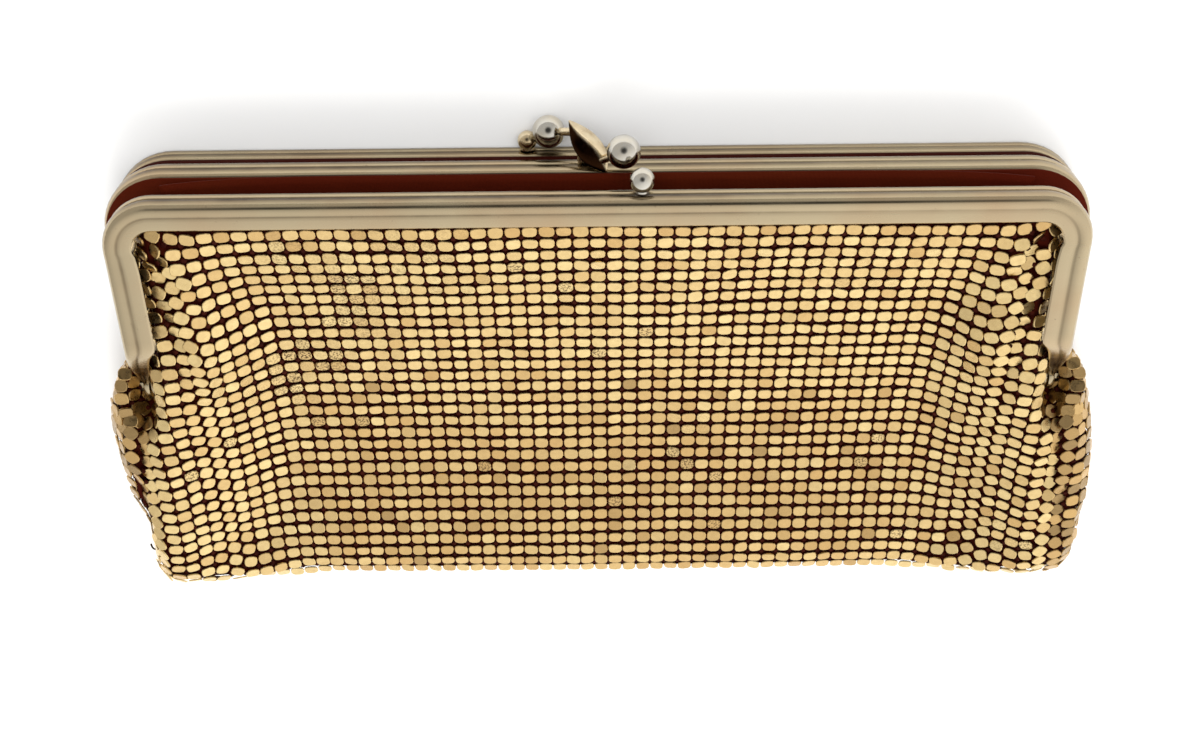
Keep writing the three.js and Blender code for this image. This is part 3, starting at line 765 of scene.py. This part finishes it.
def build_tiles(name, front, rings):
    sizes = bpy.context.scene.clutch_mesh
    dice = random.Random(sizes.seed + (0 if front else 1))
    pitch = sizes.pitch / MM
    places = tile_places(front, pitch)
    template = tile_template(sizes.pitch * sizes.share, sizes.narrow, sizes.height, rings)
    facing = 1 if front else -1
    rows = {}
    for key in sorted(places, key=lambda k: (k[1], k[0])):
        point = places[key]
        turn = tile_turn(places, key, facing)
        wobble = sizes.jitter * (1 + 1.8 * bell(abs(point.x), 85, 4.5) * smooth((point.y + 52) / 12))
        lean = Euler((dice.gauss(0, wobble), dice.gauss(0, wobble), dice.gauss(0, wobble * 0.6)))
        squash = 1 + dice.gauss(0, 0.02)
        drift = dice.gauss(0, 1)
        wear = dice.random()
        if hidden_by_frame(point):
            continue
        side = abs(point.x)
        # Painted light in the tone: warm lifts the bottom middle towards tan as a painted warm reflection,
        # first darkens the row just under the front flange as painted shade, and the side lobes are
        # darkened as a painted dark reflection. drift and the rare darker tile are random tone.
        warm = 0.25 + 0.45 * smooth((-point.y - 40) / 30) * (1 - smooth((side - 55) / 15))
        lobe_dark_reflection = 0.65 * smooth((side - seam_at(point.y)) / 2 + 0.5) * smooth((-point.y - 34) / 4)
        first = 0.45 if front and point.y > -(SETBACK + FLANGE_WIDTH + pitch) else 0.0
        tone_and_shade = 0.6 * (warm + first + 0.24 * drift + (0.5 if wear > 0.94 else 0)) + lobe_dark_reflection
        tone_and_shade = min(1.0, max(0.0, tone_and_shade))
        tarnish = tarnish_at(point.x, point.y) * (1.0 if wear > 0.5 else 0.2) if front else 0.1
        tarnish = min(1.0, tarnish + (0.8 if wear < 0.008 else 0.0) + 0.05 * wear)
        out = turn.col[2]
        centre = place(*point) - Vector(out) * sizes.height
        centre.z = max(centre.z, TILE_LOWEST * MM)
        turn = (turn @ lean.to_matrix()).to_4x4()
        matrix = Matrix.Translation(centre) @ turn @ Matrix.Diagonal((squash, 1, 1, 1))
        rows.setdefault(key[1], []).append((matrix, tone_and_shade, tarnish))
    bm = stamp_rows(rows.values(), template)
    bpy.data.meshes.remove(template)
    return new_object(name, bm, finish_of("tile_gold"), sharp=24)


class CLUTCH_OT_front_tiles(bpy.types.Operator):
    """Lays the front panel's small gold tiles, down over the bottom fold and round both sides"""
    bl_idname = "clutch.front_tiles"
    bl_label = "Front Tiles"

    def execute(self, context):
        obj = build_tiles("mesh_tiles_front", True, ((0.045, 0.28),))
        return {"FINISHED"}


class CLUTCH_OT_back_tiles(bpy.types.Operator):
    """Lays the back panel's small gold tiles"""
    bl_idname = "clutch.back_tiles"
    bl_label = "Back Tiles"

    def execute(self, context):
        obj = build_tiles("mesh_tiles_back", False, ((0.05, 0.36),))
        return {"FINISHED"}


class CLUTCH_OT_links(bpy.types.Operator):
    """Puts the little dark rings between each four tiles"""
    bl_idname = "clutch.links"
    bl_label = "Tile Links"

    def execute(self, context):
        sizes = context.scene.clutch_mesh
        pitch = sizes.pitch / MM
        bm = bmesh.new()
        bmesh.ops.create_cone(
            bm, cap_ends=True, segments=6, radius1=sizes.pitch * 0.21, radius2=sizes.pitch * 0.13,
            depth=sizes.height * 0.6)
        template = to_mesh("link", bm)
        rows = {}
        for front in (True, False):
            places = tile_places(front, pitch)
            for key, point in places.items():
                others = [places.get((key[0] + a, key[1] + b)) for a, b in ((1, 0), (0, 1), (1, 1))]
                if None in others or hidden_by_frame(point):
                    continue
                turn = tile_turn(places, key, 1 if front else -1)
                centre = sum(others, point.copy()) / 4
                spot = place(*centre) - Vector(turn.col[2]) * sizes.height * 1.3
                rows.setdefault((front, key[1]), []).append(
                    (Matrix.Translation(spot) @ turn.to_4x4(), 0.0, 0.0))
        bm = stamp_rows(rows.values(), template)
        bpy.data.meshes.remove(template)
        obj = new_object("mesh_links", bm, finish_of("link_bronze"), sharp=40)
        return {"FINISHED"}


class CLUTCH_OT_backing(bpy.types.Operator):
    """Makes the dark cloth shell that shows between the tiles, with its maroon darkened as painted shade"""
    bl_idname = "clutch.backing"
    bl_label = "Backing"

    def execute(self, context):
        sizes = context.scene.clutch_mesh
        whole = bmesh.new()
        for front in (True, False):
            grid = shell_points(front)
            slopes = np.gradient(grid, axis=0), np.gradient(grid, axis=1)
            out = np.cross(slopes[0], -slopes[1]) * (1 if front else -1)
            out = out / (np.linalg.norm(out, axis=-1, keepdims=True) + 1e-9)
            grid = grid - out * (sizes.sink / MM)
            grid[..., 2] = np.maximum(grid[..., 2], BACKING_LOWEST)
            grid = grid[::BACKING_STEP, ::BACKING_STEP]
            bm = bmesh.new()
            bmesh.ops.create_grid(bm, x_segments=grid.shape[0] - 1, y_segments=grid.shape[1] - 1, size=1.0)
            for vert in bm.verts:
                i = round((vert.co.x + 1) / 2 * (grid.shape[0] - 1))
                j = round((1 - vert.co.y) / 2 * (grid.shape[1] - 1))
                point = grid[i, j]
                limit = FRONT_HALF - 4.4 if point[1] > -38 else 200
                vert.co = place(min(max(point[0], -limit), limit), point[1], point[2])
            if not front:
                bmesh.ops.reverse_faces(bm, faces=bm.faces[:])
            merge_into(whole, bm)
        obj = new_object("mesh_backing", whole, finish_of("shaded_backing_cloth"))
        wall = obj.modifiers.new("wall", "SOLIDIFY")
        wall.thickness = BACKING_WALL * MM
        wall.offset = -1
        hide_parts("mesh_bag")
        return {"FINISHED"}


# Rails


def bead(low, high, depth, steps=8):
    """A rolled bead on a rail's outer face, as (inwards, up, patina and painted shade) from one height up
    to another.
    """
    # The bead's edges are darkened and its crest is left light, as painted dark reflection and a painted
    # highlight line
    wear = np.interp(np.linspace(0, 1, steps + 1), (0, 0.15, 0.5, 0.65, 0.75, 0.88, 1),
                     (1, 0.8, 0.7, 0.15, 0.1, 0.6, 1))
    points = []
    for i in range(steps + 1):
        angle = math.pi * i / steps
        points.append((depth * (1 - math.sin(angle)), low + (high - low) * (1 - math.cos(angle)) / 2,
                       float(wear[i])))
    return points


def round_over(depth, start, reach, patina_and_shade, steps=6):
    """The outer face's last part, which rolls over into the top."""
    points = []
    # Its painted shade fades from the given amount at the foot of the roll down to 0.1 over the top
    for i in range(steps + 1):
        angle = math.pi / 2 * i / steps
        points.append((reach * (1 - math.cos(angle)), start + (depth - start) * math.sin(angle),
                       max(0.1, patina_and_shade * (1 - i / 3.5))))
    return points


def rail_profile(width, depth, flange):
    """A rail's section as (inwards, up, patina and painted shade): a bead, a groove darkened with patina
    and painted dark reflection, a roll, and its flange.
    """
    if flange == "top":
        outer = bead(0.12, depth * 0.4, 0.6) + [(0.3, depth * 0.43, 1.0), (0.3, depth * 0.63, 1.0)]
        outer = outer + round_over(depth, depth * 0.66, 1.6, 0.9)
        over = [
            (2.0, depth - 0.02, 0.15), (2.5, depth - 0.14, 0.3), (2.75, depth - 0.3, 0.7),
            (2.95, depth - 0.42, 0.7), (3.25, depth - 0.4, 0.2), (3.7, depth - 0.36, 0.0),
            (FLANGE_WIDTH - 0.7, depth - 0.38, 0.0), (FLANGE_WIDTH - 0.25, depth - 0.44, 0.0),
            (FLANGE_WIDTH, depth - 0.75, 0.2), (FLANGE_WIDTH - 0.15, depth - FLANGE_THICKNESS, 0.8),
            (width, depth - FLANGE_THICKNESS, 0.8)]
        return outer + over + [(width, 0.3, 0.8), (width - 0.4, 0.0, 0.5), (1.0, 0.0, 0.3)]
    outer = bead(0.12, depth * 0.46, 0.6) + [(0.35, depth * 0.48, 1.0), (0.35, depth * 0.58, 1.0)]
    outer = outer + round_over(depth, depth * 0.62, 1.2, 1.0)
    if flange == "bottom":
        over = [(width - 0.5, depth, 0.3), (width, depth - 0.4, 0.5), (width, FLANGE_THICKNESS, 0.8)]
        return outer + over + [(FLANGE_WIDTH, FLANGE_THICKNESS, 0.5), (FLANGE_WIDTH, 0.2, 0.2),
                               (FLANGE_WIDTH - 0.3, 0.0, 0.0), (1.0, 0.0, 0.0)]
    over = [(1.7, depth - 0.05, 0.3), (2.0, depth - 0.3, 0.9), (2.3, depth - 0.05, 0.3), (2.7, depth, 0.0),
            (width - 0.5, depth, 0.0), (width, depth - 0.45, 0.3)]
    return outer + over + [(width, 0.45, 0.5), (width - 0.45, 0.0, 0.5), (1.0, 0.0, 0.5)]


def rail_stations(half, corner, arm, middle, ear, setback):
    """Places along a rail, from the right hinge round to the left one."""
    length = -PIVOT_Y - setback
    table = np.array(arm)
    right = []
    for share in np.linspace(1.0, corner / length + 0.02, 30):
        near = share + np.array(ARM_BLEND)
        width, depth, lift, shift = (
            float(np.mean(np.interp(near, table[:, 0], table[:, i]))) for i in range(1, 5))
        right.append((half + (ear - half) * shift, -setback - share * length, -1.0, 0.0,
                      width, depth, middle + (PIVOT_Z - middle) * lift))
    for i in range(13):
        angle = math.pi / 2 * i / 12
        out_x, out_y = math.cos(angle), math.sin(angle)
        right.append((half - corner + corner * out_x, -setback - corner + corner * out_y,
                      -out_x, -out_y, 1.0, 1.0, middle))
    left = [(-x, y, -ix, iy, w, d, z) for x, y, ix, iy, w, d, z in reversed(right)]
    run = np.linspace(right[-1][0], left[0][0], 26)[1:-1]
    top = [(float(x), -setback, 0.0, -1.0, 1.0, 1.0, middle) for x in run]
    return right + top + left


def sweep(profile, depth, stations):
    """Carries the section round the stations, with both ends closed."""
    bm = bmesh.new()
    mark = bm.verts.layers.int.new("corner")
    # This layer carries the profile's patina and painted shade onto the rail
    wear = bm.verts.layers.float.new("patina_and_shade")

    def put(vert, station):
        x, y, in_x, in_y, widen, deepen, height = station
        inward, up, patina_and_shade = profile[vert[mark]]
        vert[wear] = patina_and_shade
        inward = inward * widen
        vert.co = place(x + in_x * inward, y + in_y * inward, height + (up - depth / 2) * deepen)

    ring = [bm.verts.new() for _ in profile]
    for index, vert in enumerate(ring):
        vert[mark] = index
        put(vert, stations[0])
    edges = [bm.edges.new((ring[i], ring[(i + 1) % len(ring)])) for i in range(len(ring))]
    bmesh.ops.edgeloop_fill(bm, edges=edges)
    for station in stations[1:]:
        made = bmesh.ops.extrude_edge_only(bm, edges=edges)["geom"]
        for vert in (item for item in made if isinstance(item, bmesh.types.BMVert)):
            put(vert, station)
        edges = [item for item in made if isinstance(item, bmesh.types.BMEdge)
                 and all(v in made for v in item.verts)]
    bmesh.ops.edgeloop_fill(bm, edges=edges)
    return bm


def add_disc(bm, radius, x0, x1, bevel):
    """A round plate across x, on the hinge's line."""
    turn = Matrix.Rotation(math.pi / 2, 4, "Y")
    disc = bmesh.new()
    bmesh.ops.create_cone(disc, cap_ends=True, segments=32, radius1=radius * MM, radius2=radius * MM,
                          depth=abs(x1 - x0) * MM)
    rims = [e for e in disc.edges if abs(e.verts[0].co.z - e.verts[1].co.z) < 1e-7]
    bmesh.ops.bevel(disc, geom=rims, offset=bevel * MM, offset_type="OFFSET", segments=2, profile=0.5,
                    affect="EDGES", material=-1)
    bmesh.ops.transform(disc, verts=disc.verts,
                        matrix=Matrix.Translation(place((x0 + x1) / 2, PIVOT_Y, PIVOT_Z)) @ turn)
    merge_into(bm, disc)


def build_rail(name, node, section, half, corner, arm, base, ear, setback):
    width, depth, flange = section
    stations = rail_stations(half, corner, arm, base + depth / 2, ear, setback)
    bm = sweep(rail_profile(width, depth, flange), depth, stations)
    for side in (-1, 1):
        add_disc(bm, EAR_RADIUS, side * (ear - EAR_THICKNESS), side * ear, 0.25)
    bmesh.ops.recalc_face_normals(bm, faces=bm.faces)
    obj = new_object(name, bm, finish_of("satin_champagne"), sharp=38)
    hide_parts(node)
    return obj


class CLUTCH_OT_rails(bpy.types.Operator):
    """Rolls the three rails with their beads, grooves, flanges and arms"""
    bl_idname = "clutch.rails"
    bl_label = "Rails"

    def execute(self, context):
        build_rail("front_rail", "front_frame", (ROLL_WIDTH, RAIL_DEPTH, "top"), FRONT_HALF, FRONT_CORNER,
                   FRONT_ARM, FRONT_BASE, FRONT_EAR, SETBACK)
        build_rail("middle_rail", "middle_frame", (MIDDLE_WIDTH, RAIL_DEPTH, "none"), REAR_HALF,
                   REAR_CORNER, REAR_ARM, MIDDLE_BASE, FRONT_EAR - EAR_SPACING, 0.0)
        build_rail("back_rail", "back_frame", (ROLL_WIDTH, BACK_DEPTH, "bottom"), REAR_HALF,
                   REAR_CORNER, REAR_ARM, 0.0, FRONT_EAR - 2 * EAR_SPACING, 0.0)
        return {"FINISHED"}


def build_welt(name, finish, low, high, start, width):
    """A soft strip of lining that follows the rear rails, a little inside their outer edge."""
    thick = high - low
    section = [(start + 0.15, 0.0, 0.0), (start, thick * 0.3, 0.0), (start, thick * 0.7, 0.0),
               (start + 0.15, thick, 0.0), (start + width, thick, 0.0), (start + width, 0.0, 0.0)]
    stations = [s for s in rail_stations(REAR_HALF, REAR_CORNER, REAR_ARM, (low + high) / 2, REAR_HALF, 0.0)
                if s[1] > PIVOT_Y * 0.5]
    bm = sweep(section, thick, stations)
    bmesh.ops.recalc_face_normals(bm, faces=bm.faces)
    obj = new_object(name, bm, finish_of(finish), sharp=60)
    return obj


class CLUTCH_OT_lining_edges(bpy.types.Operator):
    """Lays the lining's edges, which show behind the middle rail and in front of it"""
    bl_idname = "clutch.lining_edges"
    bl_label = "Lining Edges"

    def execute(self, context):
        # The back edge uses the darkened backing cloth, as painted shade in the gap between the back and
        # middle rails
        build_welt("back_pocket_edge", "shaded_backing_cloth", BACK_DEPTH - 0.1, MIDDLE_BASE + 0.1, 0.3, 1.8)
        top = MIDDLE_BASE + RAIL_DEPTH
        build_welt("front_pocket_edge", "maroon_cloth", top + 0.05, top + 0.5, 0.9, MIDDLE_WIDTH - 0.5)
        return {"FINISHED"}


class CLUTCH_OT_pins(bpy.types.Operator):
    """Gives the two hinge pins the rails' own plating"""
    bl_idname = "clutch.pins"
    bl_label = "Hinge Pins"

    def execute(self, context):
        for name in ("hinge_pin_left", "hinge_pin_right"):
            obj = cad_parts[name]
            obj.data.materials.clear()
            obj.data.materials.append(finish_of("satin_champagne"))
        return {"FINISHED"}


# Lining


class CLUTCH_OT_lining(bpy.types.Operator):
    """Hangs the front compartment's dark red pocket between the middle and front rails"""
    bl_idname = "clutch.lining"
    bl_label = "Lining"

    def execute(self, context):
        table = np.array(SECTIONS)
        face = MIDDLE_BASE + RAIL_DEPTH + 0.35
        bm = bmesh.new()
        bmesh.ops.create_grid(bm, x_segments=LINING_STEPS[0], y_segments=LINING_STEPS[1], size=1.0)
        for vert in bm.verts:
            u, v = vert.co.x, vert.co.y
            back = v < 0
            share = 1 - abs(v)
            start = 0.8 if back else SETBACK + ROLL_WIDTH + 0.3
            deep = start + (LINING_LENGTH - start) * share
            row = {name: float(np.interp(deep / BAG_LENGTH, table[:, 0], table[:, i]))
                   for i, name in enumerate(COLUMNS)}
            roof = min(row["middle"] * SIDE_HEIGHT - LINING_INSET, FRONT_BASE + 0.9)
            floor = row["back"] * SIDE_HEIGHT + LINING_INSET
            fall = float(smooth((deep - 4.8) / LINING_FALL))
            low = face + (floor - face) * fall
            roof = max(roof, low + 0.8)
            half = (0.8 * LEFT_REACH if deep > 5.5 else REAR_HALF - REAR_CORNER - 1) - 2.0 * share
            edge = abs(u) ** 8
            z = low + (roof - low) * (0.5 * edge if back else 1 - 0.5 * edge)
            close = float(smooth((share - 0.85) / 0.15))
            z = z + ((low + roof) / 2 - z) * close
            ripple = 0.22 * math.sin(u * 46 + 2 * math.sin(v * 9)) + 0.14 * math.sin(u * 101 + v * 7)
            z += ripple * (1 - edge) * float(smooth(share * 6)) * (1 if back else -1)
            vert.co = place(u * half, -deep, z)
        bmesh.ops.recalc_face_normals(bm, faces=bm.faces)
        obj = new_object("front_pocket", bm, finish_of("maroon_cloth"))
        wall = obj.modifiers.new("wall", "SOLIDIFY")
        wall.thickness = LINING_WALL * MM
        wall.offset = 0
        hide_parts("front_lining")
        return {"FINISHED"}


# Clasp


def add_ball(bm, radius, x, y, z):
    bmesh.ops.create_uvsphere(bm, u_segments=40, v_segments=24, radius=radius * MM,
                              matrix=Matrix.Translation(place(x, y, z)))


def add_stem(bm, start, end, radius):
    """A round rod between two local points."""
    start, end = place(*start), place(*end)
    way = end - start
    turn = way.to_track_quat("Z", "Y").to_matrix().to_4x4()
    bmesh.ops.create_cone(bm, cap_ends=True, segments=24, radius1=radius * MM, radius2=radius * MM * 0.9,
                          depth=way.length, matrix=Matrix.Translation((start + end) / 2) @ turn)


def leaf_mesh(spots, height):
    """The ridged, twisted leaf, with its stems to both balls and its foot on the middle rail."""
    centre = Vector((CLASP_X + 0.4, LEAF_RISE - 0.7, height + 0.7))
    way = Vector(LEAF_WAY).normalized()
    bm = bmesh.new()
    # This layer holds the leaf's painted shade: its left facet is dark as a painted dark reflection, and
    # its back is half dark
    wear = bm.verts.layers.float.new("patina_and_shade")
    bmesh.ops.create_uvsphere(bm, u_segments=48, v_segments=36, radius=0.5)
    for vert in bm.verts:
        along, out, wide = 2 * vert.co.z, 2 * vert.co.y, 2 * vert.co.x
        taper = max(0.0, 1 - abs(along) ** 2.4)
        crest = 0.2 * math.sin(along * 2.6) - 0.05
        ridge = max(0.0, 1 - abs(wide - crest) / LEAF_RIDGE) * taper * (1.3 if out > 0 else 0.9)
        vert[wear] = min(1.0, max(0.0, (crest - wide) * 6)) if out > -0.2 else 0.5
        vert.co = Vector((
            wide * LEAF_WIDTH / 2 * (0.35 + 0.65 * taper),
            out * 0.5 * (0.4 + 0.6 * taper) + ridge + LEAF_TWIST * along * wide,
            along * LEAF_HALF,
        ))
    facing = Vector(LEAF_FACING)
    facing = (facing - way * facing.dot(way)).normalized()
    turn = Matrix((facing.cross(way), facing, way)).transposed().to_4x4()
    bmesh.ops.scale(bm, vec=(MM, MM, MM), verts=bm.verts)
    bmesh.ops.transform(bm, matrix=Matrix.Translation(place(*centre)) @ turn, verts=bm.verts)
    for spot, start in zip(spots, STEM_STARTS):
        add_stem(bm, centre + way * start - facing * 0.4, spot, STEM * 0.75)
    foot = bmesh.ops.create_cube(bm, size=1.0)["verts"]
    bmesh.ops.scale(bm, vec=[length * MM for length in FOOT], verts=foot)
    rims = list({edge for vert in foot for edge in vert.link_edges})
    bmesh.ops.translate(bm, vec=place(CLASP_X, (LEAF_RISE - 0.4) / 2, height), verts=foot)
    bmesh.ops.bevel(bm, geom=rims, offset=0.6 * MM, offset_type="OFFSET", segments=3, profile=0.5,
                    affect="EDGES", material=-1)
    bmesh.ops.recalc_face_normals(bm, faces=bm.faces)
    return bm


class CLUTCH_OT_clasp(bpy.types.Operator):
    """Makes the ridged leaf with its two large balls, and the small balls on the outer rails"""
    bl_idname = "clutch.clasp"
    bl_label = "Clasp"

    def execute(self, context):
        silver, gold = finish_of("clasp_silver"), finish_of("clasp_gold")
        height = MIDDLE_BASE + RAIL_DEPTH / 2
        spots = [(CLASP_X + side * LARGE_SIDE, LARGE_RISE, height + side * LARGE_LEAN) for side in (-1, 1)]
        bm = bmesh.new()
        for spot in spots:
            add_ball(bm, LARGE_BALL, *spot)
        balls = new_object("clasp_large_balls", bm, silver, sharp=40)

        leaf = new_object("clasp_leaf", leaf_mesh(spots, height), gold, sharp=45)
        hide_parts("clasp_bridge")

        small = (
            ("clasp_small_ball_front", "clasp_ball_front", FRONT_BALL_SIDE, -SETBACK, FRONT_BALL_RISE,
             FRONT_BASE + RAIL_DEPTH * 0.42, FRONT_BALL, silver),
            ("clasp_small_ball_back", "clasp_ball_back", -BACK_BALL_SIDE, 0.0, BACK_BALL_RISE,
             BACK_DEPTH / 2, BACK_BALL, gold),
        )
        for name, node, side, edge, rise, z, radius, material in small:
            x = CLASP_X + side
            bm = bmesh.new()
            add_ball(bm, radius, x, edge + rise, z)
            add_stem(bm, (x, edge + 0.3, z), (x, edge + rise, z), STEM * 1.3)
            obj = new_object(name, bm, material, sharp=40)
            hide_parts(node)
        return {"FINISHED"}


# Loose wire loops


class CLUTCH_OT_wire_loops(bpy.types.Operator):
    """Bends the two loose dark links that stick out at the bottom corners"""
    bl_idname = "clutch.wire_loops"
    bl_label = "Wire Loops"

    def execute(self, context):
        bm = bmesh.new()
        for x, y, z, turn in LOOPS:
            part = bmesh.new()
            ring = bmesh.ops.create_circle(part, segments=8, radius=WIRE_RADIUS * MM)["verts"]
            bmesh.ops.rotate(part, verts=ring, cent=(0, 0, 0), matrix=Matrix.Rotation(math.pi / 2, 3, "X"))
            bmesh.ops.translate(part, verts=ring, vec=(LOOP_RADIUS * MM, 0, 0))
            bmesh.ops.spin(part, geom=part.verts[:] + part.edges[:], cent=(0, 0, 0), axis=(0, 0, 1),
                           angle=math.radians(LOOP_SWEEP), steps=20)
            bmesh.ops.holes_fill(part, edges=part.edges[:], sides=12)
            bmesh.ops.remove_doubles(part, verts=part.verts, dist=1e-6)
            bmesh.ops.recalc_face_normals(part, faces=part.faces)
            tilt = Euler((math.radians(35), math.radians(20), math.radians(turn))).to_matrix().to_4x4()
            bmesh.ops.transform(part, matrix=Matrix.Translation(place(x, y, z)) @ tilt, verts=part.verts)
            merge_into(bm, part)
        obj = new_object("loose_wire_loops", bm, finish_of("dark_wire"), sharp=50)
        return {"FINISHED"}


# Stage


def add_light(name, power, at, size, colour):
    """A soft light that looks at the object and makes no glint of its own."""
    data = bpy.data.lights.new(name, "AREA")
    data.shape = "RECTANGLE"
    data.size, data.size_y = size
    data.energy = power
    data.color = colour
    obj = bpy.data.objects.new(name, data)
    bpy.context.scene.collection.objects.link(obj)
    obj.location = at
    obj.rotation_euler = (-Vector(at)).to_track_quat("-Z", "Y").to_euler()
    obj.visible_glossy = False


def soften_sky(tree, strength):
    """An even white sky that is brighter low down in front and to the right, and darker behind."""
    background = tree.nodes["Background"]
    background.inputs["Color"].default_value = SKY
    direction = tree.nodes.new("ShaderNodeTexCoord").outputs["Generated"]
    total = None
    for aim, low, high, out_low, out_high in SKY_PARTS:
        dot = tree.nodes.new("ShaderNodeVectorMath")
        dot.operation = "DOT_PRODUCT"
        dot.inputs[1].default_value = aim
        tree.links.new(direction, dot.inputs[0])
        scale = strength if total is None else 1.0
        share = span(tree, dot.outputs["Value"], low, high, out_low * scale, out_high * scale)
        total = share if total is None else multiply(tree, total, share)
    tree.links.new(total, background.inputs["Strength"])


class CLUTCH_OT_stage(bpy.types.Operator):
    """Sets out the pale floor, the soft lights and the camera"""
    bl_idname = "clutch.stage"
    bl_label = "Stage"

    def execute(self, context):
        studio = context.scene.clutch_studio
        bm = bmesh.new()
        bmesh.ops.create_grid(bm, x_segments=8, y_segments=8, size=3.0)
        mesh = to_mesh("pale_floor", bm)
        mesh.materials.append(finish_of("pale_floor"))
        floor = bpy.data.objects.new("pale_floor", mesh)
        context.scene.collection.objects.link(floor)

        world = bpy.data.worlds.new("studio")
        world.use_nodes = True
        soften_sky(world.node_tree, studio.sky)
        context.scene.world = world
        add_light("key", studio.key, *KEY_LIGHT)
        add_light("fill", studio.fill, *FILL_LIGHT)

        data = bpy.data.cameras.new("camera")
        data.lens = studio.lens
        data.sensor_width = SENSOR
        data.clip_start, data.clip_end = 0.01, 20.0
        camera = bpy.data.objects.new("camera", data)
        context.scene.collection.objects.link(camera)
        tilt = studio.tilt
        turn = Matrix((
            (1.0, 0.0, 0.0),
            (0.0, math.cos(tilt), math.sin(tilt)),
            (0.0, -math.sin(tilt), math.cos(tilt)),
        ))
        camera.matrix_world = (
            Matrix.Translation(place(*CAMERA_AT))
            @ turn.to_4x4()
            @ Matrix.Rotation(-studio.roll, 4, "Z")
        )
        context.scene.camera = camera
        context.scene.view_settings.view_transform = "Standard"
        return {"FINISHED"}


# Panel and running

OPERATORS = (
    CLUTCH_OT_backing,
    CLUTCH_OT_front_tiles,
    CLUTCH_OT_back_tiles,
    CLUTCH_OT_links,
    CLUTCH_OT_rails,
    CLUTCH_OT_pins,
    CLUTCH_OT_lining,
    CLUTCH_OT_lining_edges,
    CLUTCH_OT_clasp,
    CLUTCH_OT_wire_loops,
    CLUTCH_OT_stage,
)
GROUPS = (
    ("clutch_mesh", ClutchMeshSizes),
    ("clutch_colours", ClutchColours),
    ("clutch_studio", ClutchStudio),
)


class CLUTCH_PT_panel(bpy.types.Panel):
    """Lists the bag's pieces and settings"""
    bl_label = "Clutch Bag"
    bl_idname = "CLUTCH_PT_panel"
    bl_space_type = "VIEW_3D"
    bl_region_type = "UI"
    bl_category = "Clutch Bag"

    def draw(self, context):
        layout = self.layout
        for name, group in GROUPS:
            box = layout.box()
            settings = getattr(context.scene, name)
            for key in group.__annotations__:
                box.prop(settings, key)
        for operator in OPERATORS:
            layout.operator(operator.bl_idname)


def register():
    for name, group in GROUPS:
        bpy.utils.register_class(group)
        setattr(bpy.types.Scene, name, PointerProperty(type=group))
    for operator in OPERATORS:
        bpy.utils.register_class(operator)
    bpy.utils.register_class(CLUTCH_PT_panel)


def unregister():
    bpy.utils.unregister_class(CLUTCH_PT_panel)
    for operator in reversed(OPERATORS):
        bpy.utils.unregister_class(operator)
    for name, group in reversed(GROUPS):
        delattr(bpy.types.Scene, name)
        bpy.utils.unregister_class(group)


def main():
    register()
    for operator in OPERATORS:
        area, name = operator.bl_idname.split(".")
        getattr(getattr(bpy.ops, area), name)()


if __name__ == "__main__":
    main()
